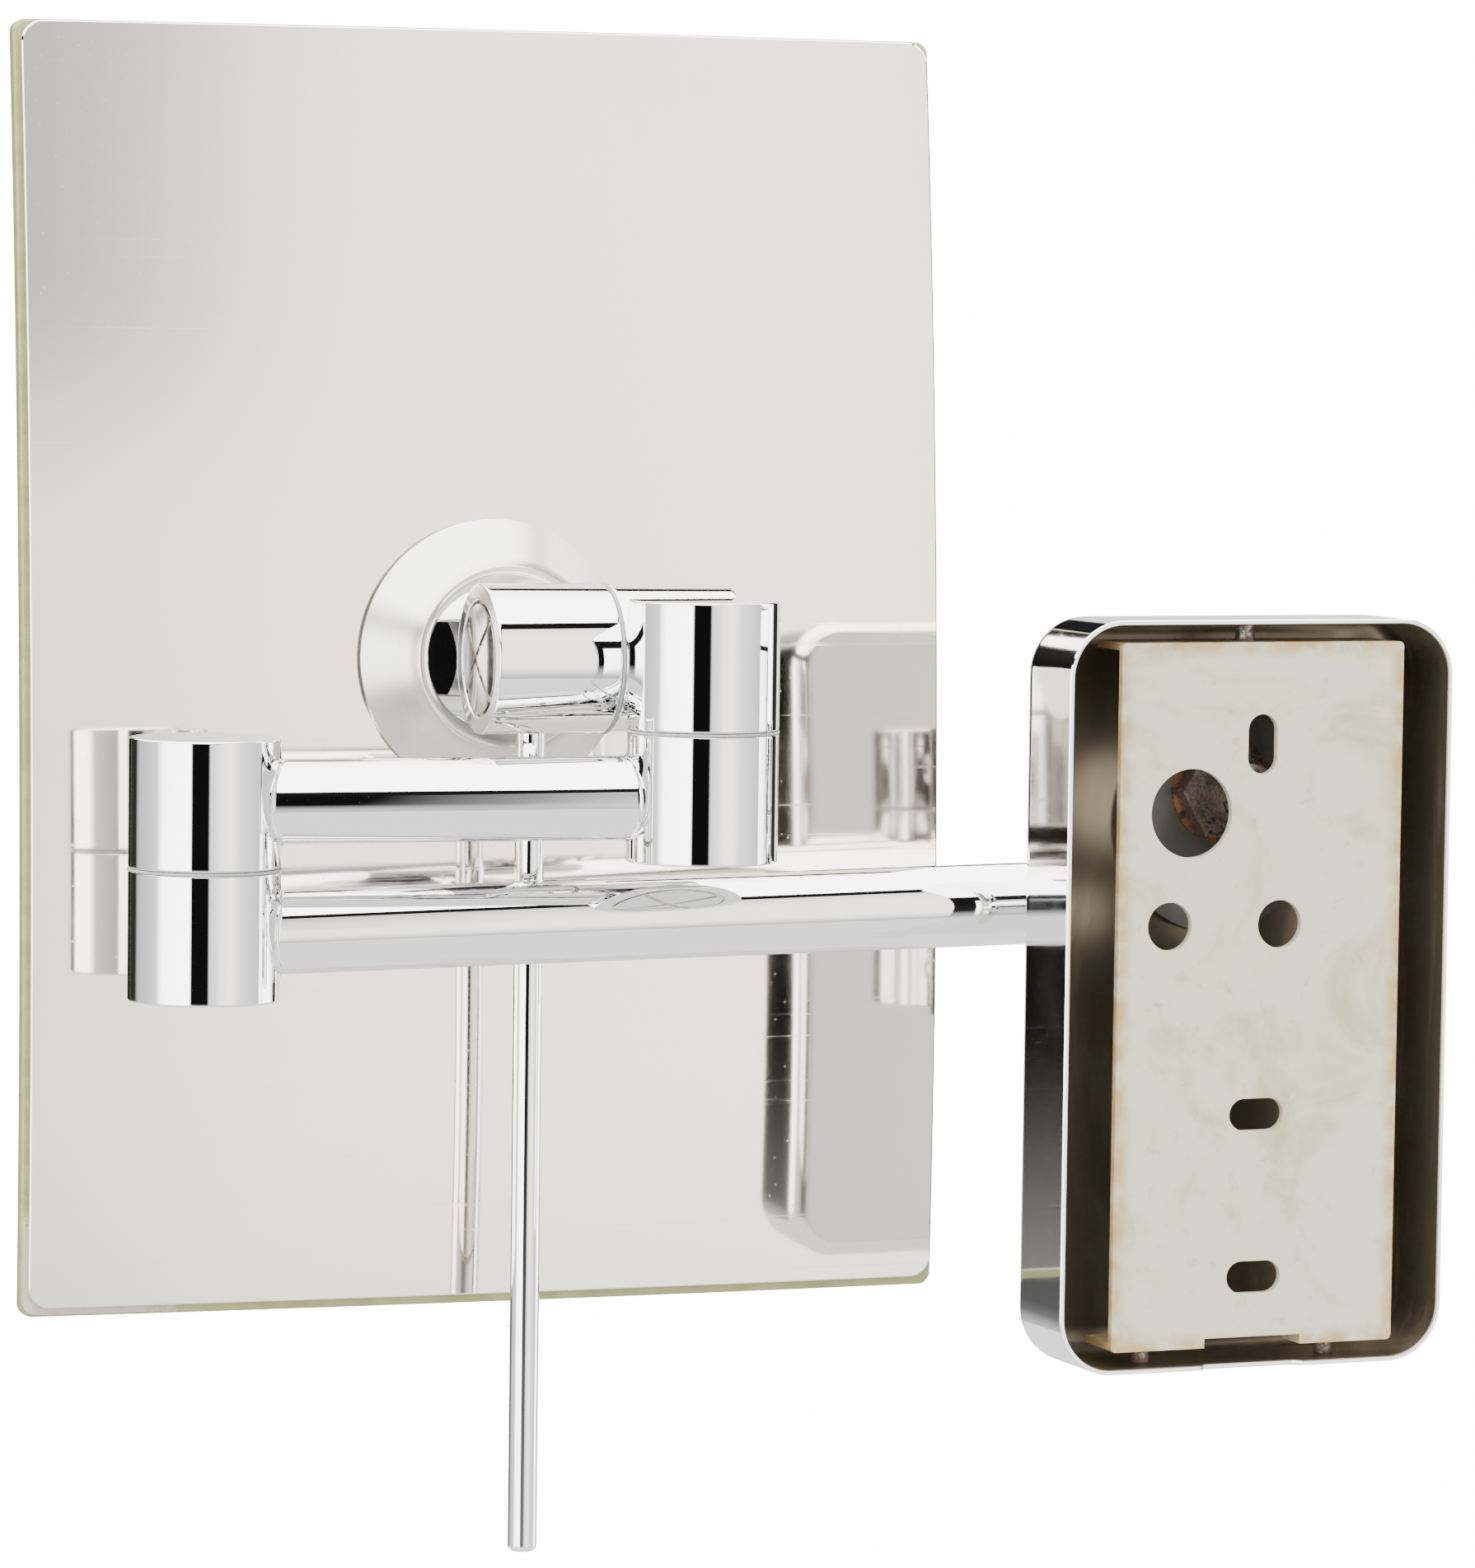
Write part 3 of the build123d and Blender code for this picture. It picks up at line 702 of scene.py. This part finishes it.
DOWN = -UP
elbow_joint = plane(elbow - UP * JOINT_GAP / 2, swivel - elbow, DOWN)
swivel_joint = plane(swivel - UP * JOINT_GAP / 2, elbow - swivel, DOWN)
tilt_joint = plane(tilt + head_x * (BARREL_HALF / 2 + JOINT_GAP), UP, head_x)
EDGE, BORE_EDGE = 0.35 * MM, 0.3 * MM
WEB, OUTER_WEB = 4.0 * MM, 3.0 * MM
CAP_RISE = 0.5 * MM
RING_BORE, RING_PROUD = 3.3 * MM, 0.1 * MM
RING_EDGE, RING_SUPPORT = 0.08 * MM, 0.05 * MM
RING_CLEARANCE = 0.05 * MM


def solid_barrel(name, axes, low, high, body, slot, *nodes):
    """A closed round bar between two heights, its end edges eased."""
    corners = [(0, low), (BARREL_RADIUS, low), (BARREL_RADIUS, high), (0, high)]
    return show(lathe(name, axes, eased(corners, EDGE), chrome), body, slot, *nodes)


def open_barrel(name, axes, length, web, body, *nodes):
    """A thick ring with a wide bore from its open end down to a web, and a pin's bore through the web."""
    corners = [
        (PIN_BORE, 0),
        (BARREL_RADIUS, 0),
        (BARREL_RADIUS, length),
        (CAVITY_RADIUS, length),
        (CAVITY_RADIUS, web),
        (PIN_BORE, web),
    ]
    profile = eased(corners, BORE_EDGE, closed=True)
    return show(lathe(name, axes, profile, chrome, closed=True), body, "chrome", *nodes)


def thrust_ring(name, axes, low, high):
    """A flat ring a hair wider than the barrels beside it."""
    outer = BARREL_RADIUS + RING_PROUD
    corners = [(RING_BORE, low), (outer, low), (outer, high), (RING_BORE, high)]
    profile = eased(corners, RING_EDGE, 3, RING_SUPPORT, closed=True)
    return lathe(name, axes, profile, ring_finish, closed=True)


RING_LOW = RING_CLEARANCE - JOINT_GAP
hinges = (
    ("elbow", elbow_joint, "upper_arm", "lower_arm"),
    ("swivel", swivel_joint, "yoke", "upper_arm"),
    ("tilt", tilt_joint, "yoke", "mirror_head"),
)
fixed_names = {"elbow": "elbow_upper_barrel", "swivel": "swivel_upper_barrel", "tilt": "tilt_fixed_barrel"}
hollow_names = {"elbow": "elbow_lower_barrel", "swivel": "swivel_lower_barrel", "tilt": "tilt_head_barrel"}
ring_bodies = {"elbow": "upper_arm", "swivel": "yoke", "tilt": "mirror_head"}

for joint_name, axes, fixed_body, hollow_body in hinges:
    fixed, hollow = fixed_names[joint_name], hollow_names[joint_name]
    solid_barrel(fixed + "_skin", axes, -STEP, -JOINT_GAP, fixed_body, "chrome", fixed)
    open_barrel(hollow + "_skin", axes, BARREL_HALF, WEB, hollow_body, hollow)
    ring = thrust_ring(joint_name + "_ring", axes, RING_LOW, 0.0)
    show(ring, ring_bodies[joint_name], "nylon", joint_name + "_washer")
    axes["cap_face"] = BARREL_HALF + CAP_RISE
    repaint(joint_name + "_cap", material(joint_name + "_cap_finish", cap_finish(axes)))

# Wall hinge: three sections
MIDDLE_HALF, OUTER = 10.7 * MM, 14.5 * MM
UPPER_END, LOWER_END = -MIDDLE_HALF - JOINT_GAP, MIDDLE_HALF + JOINT_GAP
wall_axes = plane(wall_hinge, elbow - wall_hinge, DOWN)
wall_joint = plane(wall_hinge - UP * LOWER_END, (1, 0, 0), DOWN)
for name, low, high, body in (
    ("wall_middle", -MIDDLE_HALF, MIDDLE_HALF, "lower_arm"),
    ("wall_upper", UPPER_END - OUTER, UPPER_END, "wall_box"),
):
    solid_barrel(name + "_skin", wall_axes, low, high, body, "chrome", name + "_barrel")
open_barrel("wall_lower_skin", wall_joint, OUTER, OUTER_WEB, "wall_box", "wall_lower_barrel")
wall_joint["cap_face"] = OUTER + CAP_RISE
repaint("wall_cap", material("wall_cap_finish", cap_finish(wall_joint)))
for name, low, high in (
    ("wall_upper_ring", UPPER_END + RING_CLEARANCE, -MIDDLE_HALF),
    ("wall_lower_ring", MIDDLE_HALF, LOWER_END - RING_CLEARANCE),
):
    show(thrust_ring(name, wall_axes, low, high), "lower_arm", "nylon", "wall_washers")

# Bosses between the cover and the wall hinge
BOSS_RADIUS, BOSS_START, BOSS_END, BOSS_EDGE = 6.5 * MM, 17.4 * MM, 25.0 * MM, 0.2 * MM
for boss_name, rise in (("upper_boss", BOSS_STEP), ("lower_boss", -BOSS_STEP)):
    axes = plane((0, 0, wall_hinge[2] + rise), (1, 0, 0), (0, -1, 0))
    corners = [(0, BOSS_START), (BOSS_RADIUS, BOSS_START), (BOSS_RADIUS, BOSS_END), (0, BOSS_END)]
    boss = lathe(boss_name + "_skin", axes, eased(corners, BOSS_EDGE), chrome, 96)
    show(boss, "wall_box", "chrome", boss_name)


# ---------------------------------------------------------------- arms


# The solder bead: distances from the barrel's surface, and how far the bead swells there
BEAD_PLACES = np.array([-1.2, -0.02, 0.12, 0.3, 0.55, 0.8]) * MM
BEAD_SWELL = np.array([0.45, 0.42, 0.22, 0.07, 0.0, 0.0]) * MM
TUBE_POLE = BARREL_RADIUS - 2 * MM


def coped_tube(name, start, end, body, node, around=96):
    """A round tube between two upright barrels.

    At the angle a round the tube, its surface is r cos a to the side of the centre line, and it
    meets a barrel of radius R at the distance sqrt(R^2 - (r cos a)^2) from the barrel's axis. The
    skin starts and ends a little inside that line, and a small bead of solder fills the corner.
    """
    length = np.linalg.norm(end - start)
    axes = plane(start, UP, end - start)
    angle = np.arange(around) * (2 * math.pi / around)
    side = TUBE_RADIUS * np.sin(angle)
    meet = np.sqrt(BARREL_RADIUS**2 - side**2)
    middle = np.linspace(0, 1, 9)[1:-1]
    near = meet[None, :] + BEAD_PLACES[:, None]
    far = length - near[::-1]
    between = near[-1] + (far[0] - near[-1]) * middle[:, None]
    along = np.concatenate([near, between, far])
    swell = np.concatenate([BEAD_SWELL, np.zeros(len(middle)), BEAD_SWELL[::-1]])
    radius = TUBE_RADIUS + swell[:, None]
    rings = placed(axes, radius * np.cos(angle), radius * np.sin(angle), along)
    first = placed(axes, 0.0, 0.0, TUBE_POLE)
    last = placed(axes, 0.0, 0.0, length - TUBE_POLE)
    tube = capped_rings(name, rings, first, last, None, [chrome], 50.0)
    return show(tube, body, "chrome", node)


lower_end = elbow - UP * STEP / 2
coped_tube("lower_arm_skin", wall_hinge, lower_end, "lower_arm", "lower_arm_tube")
upper_start, upper_end = elbow + UP * STEP / 2, swivel - UP * STEP / 2
coped_tube("upper_arm_skin", upper_start, upper_end, "upper_arm", "upper_arm_tube")

# ---------------------------------------------------------------- pull rod

ROD_RADIUS = 2.3 * MM
ROD_START, ROD_LENGTH = 9.3 * MM, 141.0 * MM
ROD_OFFSET, ROD_END_ROUND = 4.5 * MM, 1.4 * MM
rod_axes = plane(rod_top - head_back * ROD_OFFSET, head_x, DOWN)
rod_line = [(0, ROD_START), (ROD_RADIUS, ROD_START), (ROD_RADIUS, ROD_LENGTH), (0, ROD_LENGTH)]
rod = lathe("pull_rod_skin", rod_axes, eased(rod_line, ROD_END_ROUND, 10), chrome, 64)
show(rod, "mirror_head", "chrome", "pull_rod")

# ---------------------------------------------------------------- dish

panel_axes = plane(neck, head_x, panel_out)
# In millimetres: radii of the crest, rim and well, and distances in front of the plate
CREST, RIM, WELL = 13.9, 22.0, 11.4
RIM_HEIGHT, FLANGE_HEIGHT, CREST_HEIGHT = 1.0, 2.4, 8.6
SHEET, FOLD = 0.8, 0.15
plate_mm = PLATE_DISTANCE / MM
flange_mm = plate_mm - FLANGE_HEIGHT
crest_mm = plate_mm - CREST_HEIGHT
turn = np.linspace(0, math.pi, 13)
crest_arc = np.stack([CREST + SHEET * np.cos(turn), crest_mm + SHEET / 2 - SHEET / 2 * np.sin(turn)], axis=-1)
outer_line = [(RIM - SHEET, plate_mm), (RIM, plate_mm), (RIM, plate_mm - RIM_HEIGHT)]
slope = np.linspace(0, 1, 6)[1:-1, None]
slope_start = np.array([RIM - FOLD, plate_mm - RIM_HEIGHT - FOLD])
outer_slope = slope_start * (1 - slope) + crest_arc[0] * slope
inner_line = [
    (WELL + 0.1, flange_mm - 0.3),
    (WELL, flange_mm),
    (WELL + SHEET, flange_mm),
    (CREST, crest_mm + 2 * SHEET),
]
dish_line = np.concatenate([outer_line, outer_slope, crest_arc, inner_line]) * MM
dish = lathe("escutcheon_skin", panel_axes, dish_line, dish_steel, 160, closed=True, sharp=40.0)
show(dish, "mirror_head", "satin_steel", "escutcheon")

# ---------------------------------------------------------------- curved sheets


def outline(width, height, radius, per_corner=10, per_side=(36, 48)):
    """Points round a rectangle with rounded corners, anticlockwise, evenly spread on its sides."""
    half_w, half_h = width / 2, height / 2
    points = []
    corners = ((1, 1, 0), (-1, 1, 90), (-1, -1, 180), (1, -1, 270))
    for number, (sx, sy, start) in enumerate(corners):
        swing = np.radians(start + np.linspace(0, 90, per_corner + 1))
        cx, cy = sx * (half_w - radius), sy * (half_h - radius)
        arc = np.stack([cx + radius * np.cos(swing), cy + radius * np.sin(swing)], axis=-1)
        points.append(arc)
        nx, ny, nstart = corners[(number + 1) % 4]
        begin = np.array([nx * (half_w - radius), ny * (half_h - radius)]) + radius * np.array(
            [math.cos(math.radians(nstart)), math.sin(math.radians(nstart))]
        )
        share = np.linspace(0, 1, per_side[number % 2] + 2)[1:-1, None]
        points.append(arc[-1] * (1 - share) + begin * share)
    return np.concatenate(points)


def inset(points, amount, width, height):
    """Move an outline inwards by shrinking each side by the same amount."""
    scale = np.array([1 - 2 * amount / width, 1 - 2 * amount / height])
    return points * scale


def curved_sheet(name, width, height, radius, depth, thickness, finishes, labels, bevel=0.25 * MM, rise=0.0):
    """A rounded rectangle whose two faces are spheres about one centre in front of the mirror.

    A point x, y on the face at the depth d lies sqrt(R^2 - x^2 - y^2) behind that centre, where R is
    the plate's radius less the face's depth beyond the plate. The three labels are the finishes of the
    back, the edge and the front, and rise lifts the sheet's middle up the panel.
    """
    edge = outline(width, height, radius)
    shares = np.linspace(0, 1, 34)[1:-1]
    shrunk = inset(edge, bevel, width, height)
    support = inset(edge, bevel * 3, width, height)
    rows = [(shrunk * s, 0.0, labels[0]) for s in shares]
    rows += [(support, 0.0, labels[0]), (shrunk, 0.0, labels[0])]
    rows += [(edge, bevel, labels[1]), (edge, thickness - bevel, labels[1])]
    rows += [(shrunk, thickness, labels[1]), (support, thickness, labels[2])]
    rows += [(shrunk * s, thickness, labels[2]) for s in shares[::-1]]
    flat = np.stack([row[0] for row in rows]) + np.array([0.0, rise])
    drop = np.array([row[1] for row in rows])[:, None]
    reach = PLATE_RADIUS + PLATE_DISTANCE - (depth + drop)
    sag = np.sqrt(reach**2 - flat[..., 0] ** 2 - flat[..., 1] ** 2)
    axes = plane(panel_middle, head_x, panel_out)
    rings = placed(axes, flat[..., 0], flat[..., 1], PLATE_DISTANCE + PLATE_RADIUS - sag)
    first = placed(axes, 0.0, rise, depth)
    last = placed(axes, 0.0, rise, depth + thickness)
    row_labels = [row[2] for row in rows[1:]]
    return capped_rings(name, rings, first, last, row_labels, finishes, 25.0)


GLASS_WIDTH, GLASS_HEIGHT = 152.0 * MM, 203.0 * MM
PLATE_SIDE_MARGIN, PLATE_TOP_MARGIN, PLATE_BOTTOM_MARGIN = 0.9 * MM, 0.35 * MM, 1.55 * MM
PLATE_RISE = (PLATE_BOTTOM_MARGIN - PLATE_TOP_MARGIN) / 2
PAD_MARGIN = 3.0 * MM
PLATE_CORNER, PAD_CORNER, GLASS_CORNER = 3.4 * MM, 3.0 * MM, 2.0 * MM
PLATE_BEVEL, PAD_BEVEL, GLASS_BEVEL = 0.2 * MM, 0.1 * MM, 0.35 * MM
plate = curved_sheet(
    "back_plate_skin",
    GLASS_WIDTH - 2 * PLATE_SIDE_MARGIN,
    GLASS_HEIGHT - PLATE_TOP_MARGIN - PLATE_BOTTOM_MARGIN,
    PLATE_CORNER,
    PLATE_DISTANCE,
    PLATE_THICKNESS,
    [plate_finish],
    (0, 0, 0),
    PLATE_BEVEL,
    PLATE_RISE,
)
show(plate, "mirror_head", "plate_steel", "back_plate")
pad_depth = PLATE_DISTANCE + PLATE_THICKNESS
pad = curved_sheet(
    "adhesive_pad_skin",
    GLASS_WIDTH - 2 * PAD_MARGIN,
    GLASS_HEIGHT - 2 * PAD_MARGIN,
    PAD_CORNER,
    pad_depth,
    PAD_THICKNESS,
    [pad_finish],
    (0, 0, 0),
    PAD_BEVEL,
)
show(pad, "mirror_head", "adhesive", "adhesive_pad")
glass = curved_sheet(
    "mirror_glass_skin",
    GLASS_WIDTH,
    GLASS_HEIGHT,
    GLASS_CORNER,
    pad_depth + PAD_THICKNESS,
    GLASS_THICKNESS,
    [margin_finish, edge_finish, silver_finish],
    (0, 1, 2),
    GLASS_BEVEL,
)
show(glass, "mirror_head", "mirror_glass", "mirror_glass")

# ---------------------------------------------------------------- wall box cover

BOX_WIDTH, BOX_HEIGHT, BOX_DEPTH = 66.0 * MM, 117.0 * MM, 17.5 * MM
BOX_WALL, BOX_CORNER, BOX_ROUND = 0.8 * MM, 9.0 * MM, 3.0 * MM
BOX_LEAST_CORNER = 0.8 * MM
SLIT_HALF, SLIT_DEPTH = 8.25 * MM, 1.2 * MM
FACE_INSETS = np.array([24.0, 16.0, 9.0, 4.5, 3.3]) * MM
WALL_LEVELS = np.array([14.0, 8.0, 0.5, 0.2]) * MM
RIM_EDGE = 0.15 * MM


def front_edge(first_inset, depth, radius, angles, label):
    """A quarter circle between the front and a side: inset r (1 - sin a), distance depth - r (1 - cos a)."""
    return [
        (first_inset + radius * (1 - math.sin(a)), depth - radius * (1 - math.cos(a)), label)
        for a in angles
    ]


def box_rows():
    """Rings from the middle of the front face, over the front edge, to the rim and back inside.

    Each ring is (inset from the outside, distance in front of the wall, label).
    """
    inner_depth = BOX_DEPTH - BOX_WALL
    rows = [(share, BOX_DEPTH, 0) for share in FACE_INSETS]
    rows += front_edge(0.0, BOX_DEPTH, BOX_ROUND, np.linspace(0, math.pi / 2, 10), 0)
    rows += [(0.0, level, 0) for level in WALL_LEVELS]
    rows += [(RIM_EDGE, 0.0, 0), (BOX_WALL - RIM_EDGE, 0.0, 0)]
    rows += [(BOX_WALL, level, 1) for level in WALL_LEVELS[::-1]]
    rows += front_edge(BOX_WALL, inner_depth, BOX_ROUND - BOX_WALL, np.linspace(math.pi / 2, 0, 8), 1)
    rows += [(share, inner_depth, 1) for share in FACE_INSETS[::-1]]
    return rows


def box_ring(amount):
    """A rounded rectangle inset by an amount, with its points kept in step from ring to ring."""
    radius = max(BOX_CORNER - amount, BOX_LEAST_CORNER)
    return outline(BOX_WIDTH - 2 * amount, BOX_HEIGHT - 2 * amount, radius, 14, (40, 60))


cover_rows = box_rows()
flat = np.stack([box_ring(row[0]) for row in cover_rows])
distance = np.repeat(np.array([row[1] for row in cover_rows])[:, None], flat.shape[1], axis=1)
in_slit = (np.abs(flat[..., 0]) < SLIT_HALF) & (flat[..., 1] < 0)
distance = np.where(in_slit & (distance < SLIT_DEPTH), SLIT_DEPTH + 0.1 * distance, distance)
box_axes = plane((0, 0, 0), (1, 0, 0), (0, -1, 0))
cover_rings = placed(box_axes, flat[..., 0], flat[..., 1], distance)
cover = capped_rings(
    "wall_cover_skin",
    cover_rings,
    placed(box_axes, 0.0, 0.0, BOX_DEPTH),
    placed(box_axes, 0.0, 0.0, BOX_DEPTH - BOX_WALL),
    [row[2] for row in cover_rows[1:]],
    [cover_chrome, inside_finish],
    30.0,
)
show(cover, "wall_box", "cover_chrome", "wall_cover")

# ---------------------------------------------------------------- studio

CAMERA_AZIMUTH, CAMERA_ELEVATION, CAMERA_ROLL = 158.05, 4.13, 0.74
CAMERA_DISTANCE = 0.998
CAMERA_TARGET = np.array([0.0878, 0.0, 0.0343])
LENS, SENSOR_WIDTH = 152.5, 36.0
CLIP_START, CLIP_END = 0.01, 50.0


def add_camera():
    """The camera looks from beside and behind the wall plane at the folded mirror."""
    azimuth, elevation = math.radians(CAMERA_AZIMUTH), math.radians(CAMERA_ELEVATION)
    back = np.array([
        math.sin(azimuth) * math.cos(elevation),
        -math.cos(azimuth) * math.cos(elevation),
        math.sin(elevation),
    ])
    right = unit(np.cross(UP, back))
    above = np.cross(back, right)
    roll = math.radians(CAMERA_ROLL)
    rolled_right = right * math.cos(roll) + above * math.sin(roll)
    rolled_above = above * math.cos(roll) - right * math.sin(roll)
    place = CAMERA_TARGET + back * CAMERA_DISTANCE
    data = bpy.data.cameras.new("camera")
    data.lens = LENS
    data.sensor_width = SENSOR_WIDTH
    data.clip_start, data.clip_end = CLIP_START, CLIP_END
    camera = bpy.data.objects.new("camera", data)
    matrix = np.eye(4)
    matrix[:3, 0], matrix[:3, 1], matrix[:3, 2], matrix[:3, 3] = rolled_right, rolled_above, back, place
    camera.matrix_world = Matrix(matrix.tolist())
    bpy.context.scene.collection.objects.link(camera)
    bpy.context.scene.camera = camera
    return back, right


camera_back, camera_right = add_camera()


# The tent's walls: degrees round from the camera's side, brightness and warmth
WALL_STOPS = (
    (-180, 1.6, 0), (-158, 0.9, 0), (-150, 0.05, 0), (-122, 0.04, 0), (-112, 1.0, 0), (-95, 1.2, 0),
    (-72, 1.6, 0), (-60, 7.0, 0), (-17.5, 8.0, 0), (-14.5, 0.008, 0), (10.8, 0.008, 0), (12.4, 1.6, 0),
    (24, 2.2, 0), (31, 3.1, 2), (45, 3.5, 2), (60, 2.0, 0), (96, 1.2, 0), (103, 7.0, 0), (126, 7.0, 0),
    (130, 0.04, 0), (146, 0.04, 0), (150, 3.0, 0), (179, 1.6, 0),
)
# Below: half the direction's height plus a half, and the colour there
GROUND_STOPS = (
    (0.0, (0.62, 0.62, 0.63)),
    (0.22, (0.85, 0.85, 0.86)),
    (0.40, (1.3, 1.3, 1.3)),
    (0.50, (2.0, 2.0, 1.98)),
)
SEAM_BLACK, HEM_BLACK, GLOOM_GREY, ROOF_WHITE = (0.015,) * 3, (0.10,) * 3, (0.5,) * 3, (8.0,) * 3
# The roof starts at the greater of a fixed height and a slope on the direction's other two parts
ROOF_LEAST, ROOF_AHEAD, ROOF_SIDE = 0.40, 0.1327, 1.593
PAPER_BRIGHTNESS = 16.0


def wall_stop(degrees, value, warmth):
    """A stop of the walls' ramp, whose colour turns warmer by losing green and blue."""
    return (0.5 + degrees / 360.0, (value, value * (1 - 0.02 * warmth), value * (1 - 0.05 * warmth)))


def studio_world():
    """A white tent with a dark gap beside the camera, grey side walls and a dark seam under its roof."""
    world = bpy.data.worlds.new("studio")
    world.use_nodes = True
    tree = world.node_tree
    tree.nodes.clear()
    g = Graph(tree)
    direction = g.node("ShaderNodeTexCoord").out("Generated")
    level_back = unit(camera_back * np.array([1.0, 1.0, 0.0]))
    ahead = g.dot(direction, level_back)
    side = g.dot(direction, camera_right)
    height = g.dot(direction, UP)
    around = side.angle_over(ahead) * (0.5 / math.pi) + 0.5
    wall_stops = [wall_stop(*row) for row in WALL_STOPS]
    walls = g.node("ShaderNodeValToRGB", {"stops": wall_stops}, {0: around}).out("Color")
    ground = g.node("ShaderNodeValToRGB", {"stops": GROUND_STOPS}, {0: height * 0.5 + 0.5}).out("Color")
    shade = g.mix(1.0 - height.step(-0.42, -0.10), walls, ground)
    seam = height - (ahead * ROOF_AHEAD + side * ROOF_SIDE).most(ROOF_LEAST)
    gloom = side.step(0.40, 0.55, 1.0, 0.0) * side.step(0.18, 0.24) * height.step(0.09, 0.20)
    shade = g.mix(gloom * 0.7, shade, GLOOM_GREY)
    shade = g.mix(seam.step(-0.115, -0.100), shade, SEAM_BLACK)
    shade = g.mix(seam.step(0.062, 0.072), shade, ROOF_WHITE)
    hem = ahead.step(-0.80, -0.55, 1.0, 0.0) * height.step(-0.75, -0.45, 1.0, 0.0)
    shade = g.mix(hem * 0.8, shade, HEM_BLACK)
    seen = g.node("ShaderNodeLightPath").out("Is Camera Ray")
    light = g.node("ShaderNodeBackground", None, {"Color": shade, "Strength": 1.0})
    paper_light = {"Color": (1.0, 1.0, 1.0, 1.0), "Strength": PAPER_BRIGHTNESS}
    paper = g.node("ShaderNodeBackground", None, paper_light)
    both = g.node("ShaderNodeMixShader", None, {
        0: seen,
        1: Signal(g, light.node.outputs[0]),
        2: Signal(g, paper.node.outputs[0]),
    })
    g.node("ShaderNodeOutputWorld", None, {0: Signal(g, both.node.outputs[0])})
    bpy.context.scene.world = world


studio_world()


FLOOR_RADII = np.array([0.2, 0.5, 0.8])
FLOOR_MIDDLE = (0.08, -0.05, -0.34)
FLOOR_AROUND = 96


def paper_floor(g):
    """Matt pale paper with the faintest mottling."""
    cloud = g.noise(g.coordinates(), 6.0, 3.0)
    pale, shaded = (0.30, 0.30, 0.298), (0.285, 0.285, 0.283)
    return {"Base Color": g.mix(cloud, pale, shaded), "Roughness": 0.6}


def add_floor():
    """A pale round floor well below the part."""
    angle = np.arange(FLOOR_AROUND) * (2 * math.pi / FLOOR_AROUND)
    radii = FLOOR_RADII[:, None]
    floor_axes = plane(FLOOR_MIDDLE, (1, 0, 0), UP)
    rings = placed(floor_axes, radii * np.cos(angle), radii * np.sin(angle), 0.0 * angle)
    points = np.concatenate([rings.reshape(-1, 3), [placed(floor_axes, 0.0, 0.0, 0.0)]])
    quads = ring_quads(len(FLOOR_RADII), FLOOR_AROUND)
    step = np.arange(FLOOR_AROUND)
    middle = np.full(FLOOR_AROUND, len(points) - 1)
    fan = np.stack([middle, step, (step + 1) % FLOOR_AROUND], axis=-1)
    mesh = bpy.data.meshes.new("floor")
    mesh.from_pydata(points.tolist(), [], [face[::-1] for face in quads.tolist()] + fan.tolist())
    mesh.materials.append(material("paper_floor", paper_floor))
    floor = bpy.data.objects.new("floor", mesh)
    bpy.context.scene.collection.objects.link(floor)


add_floor()
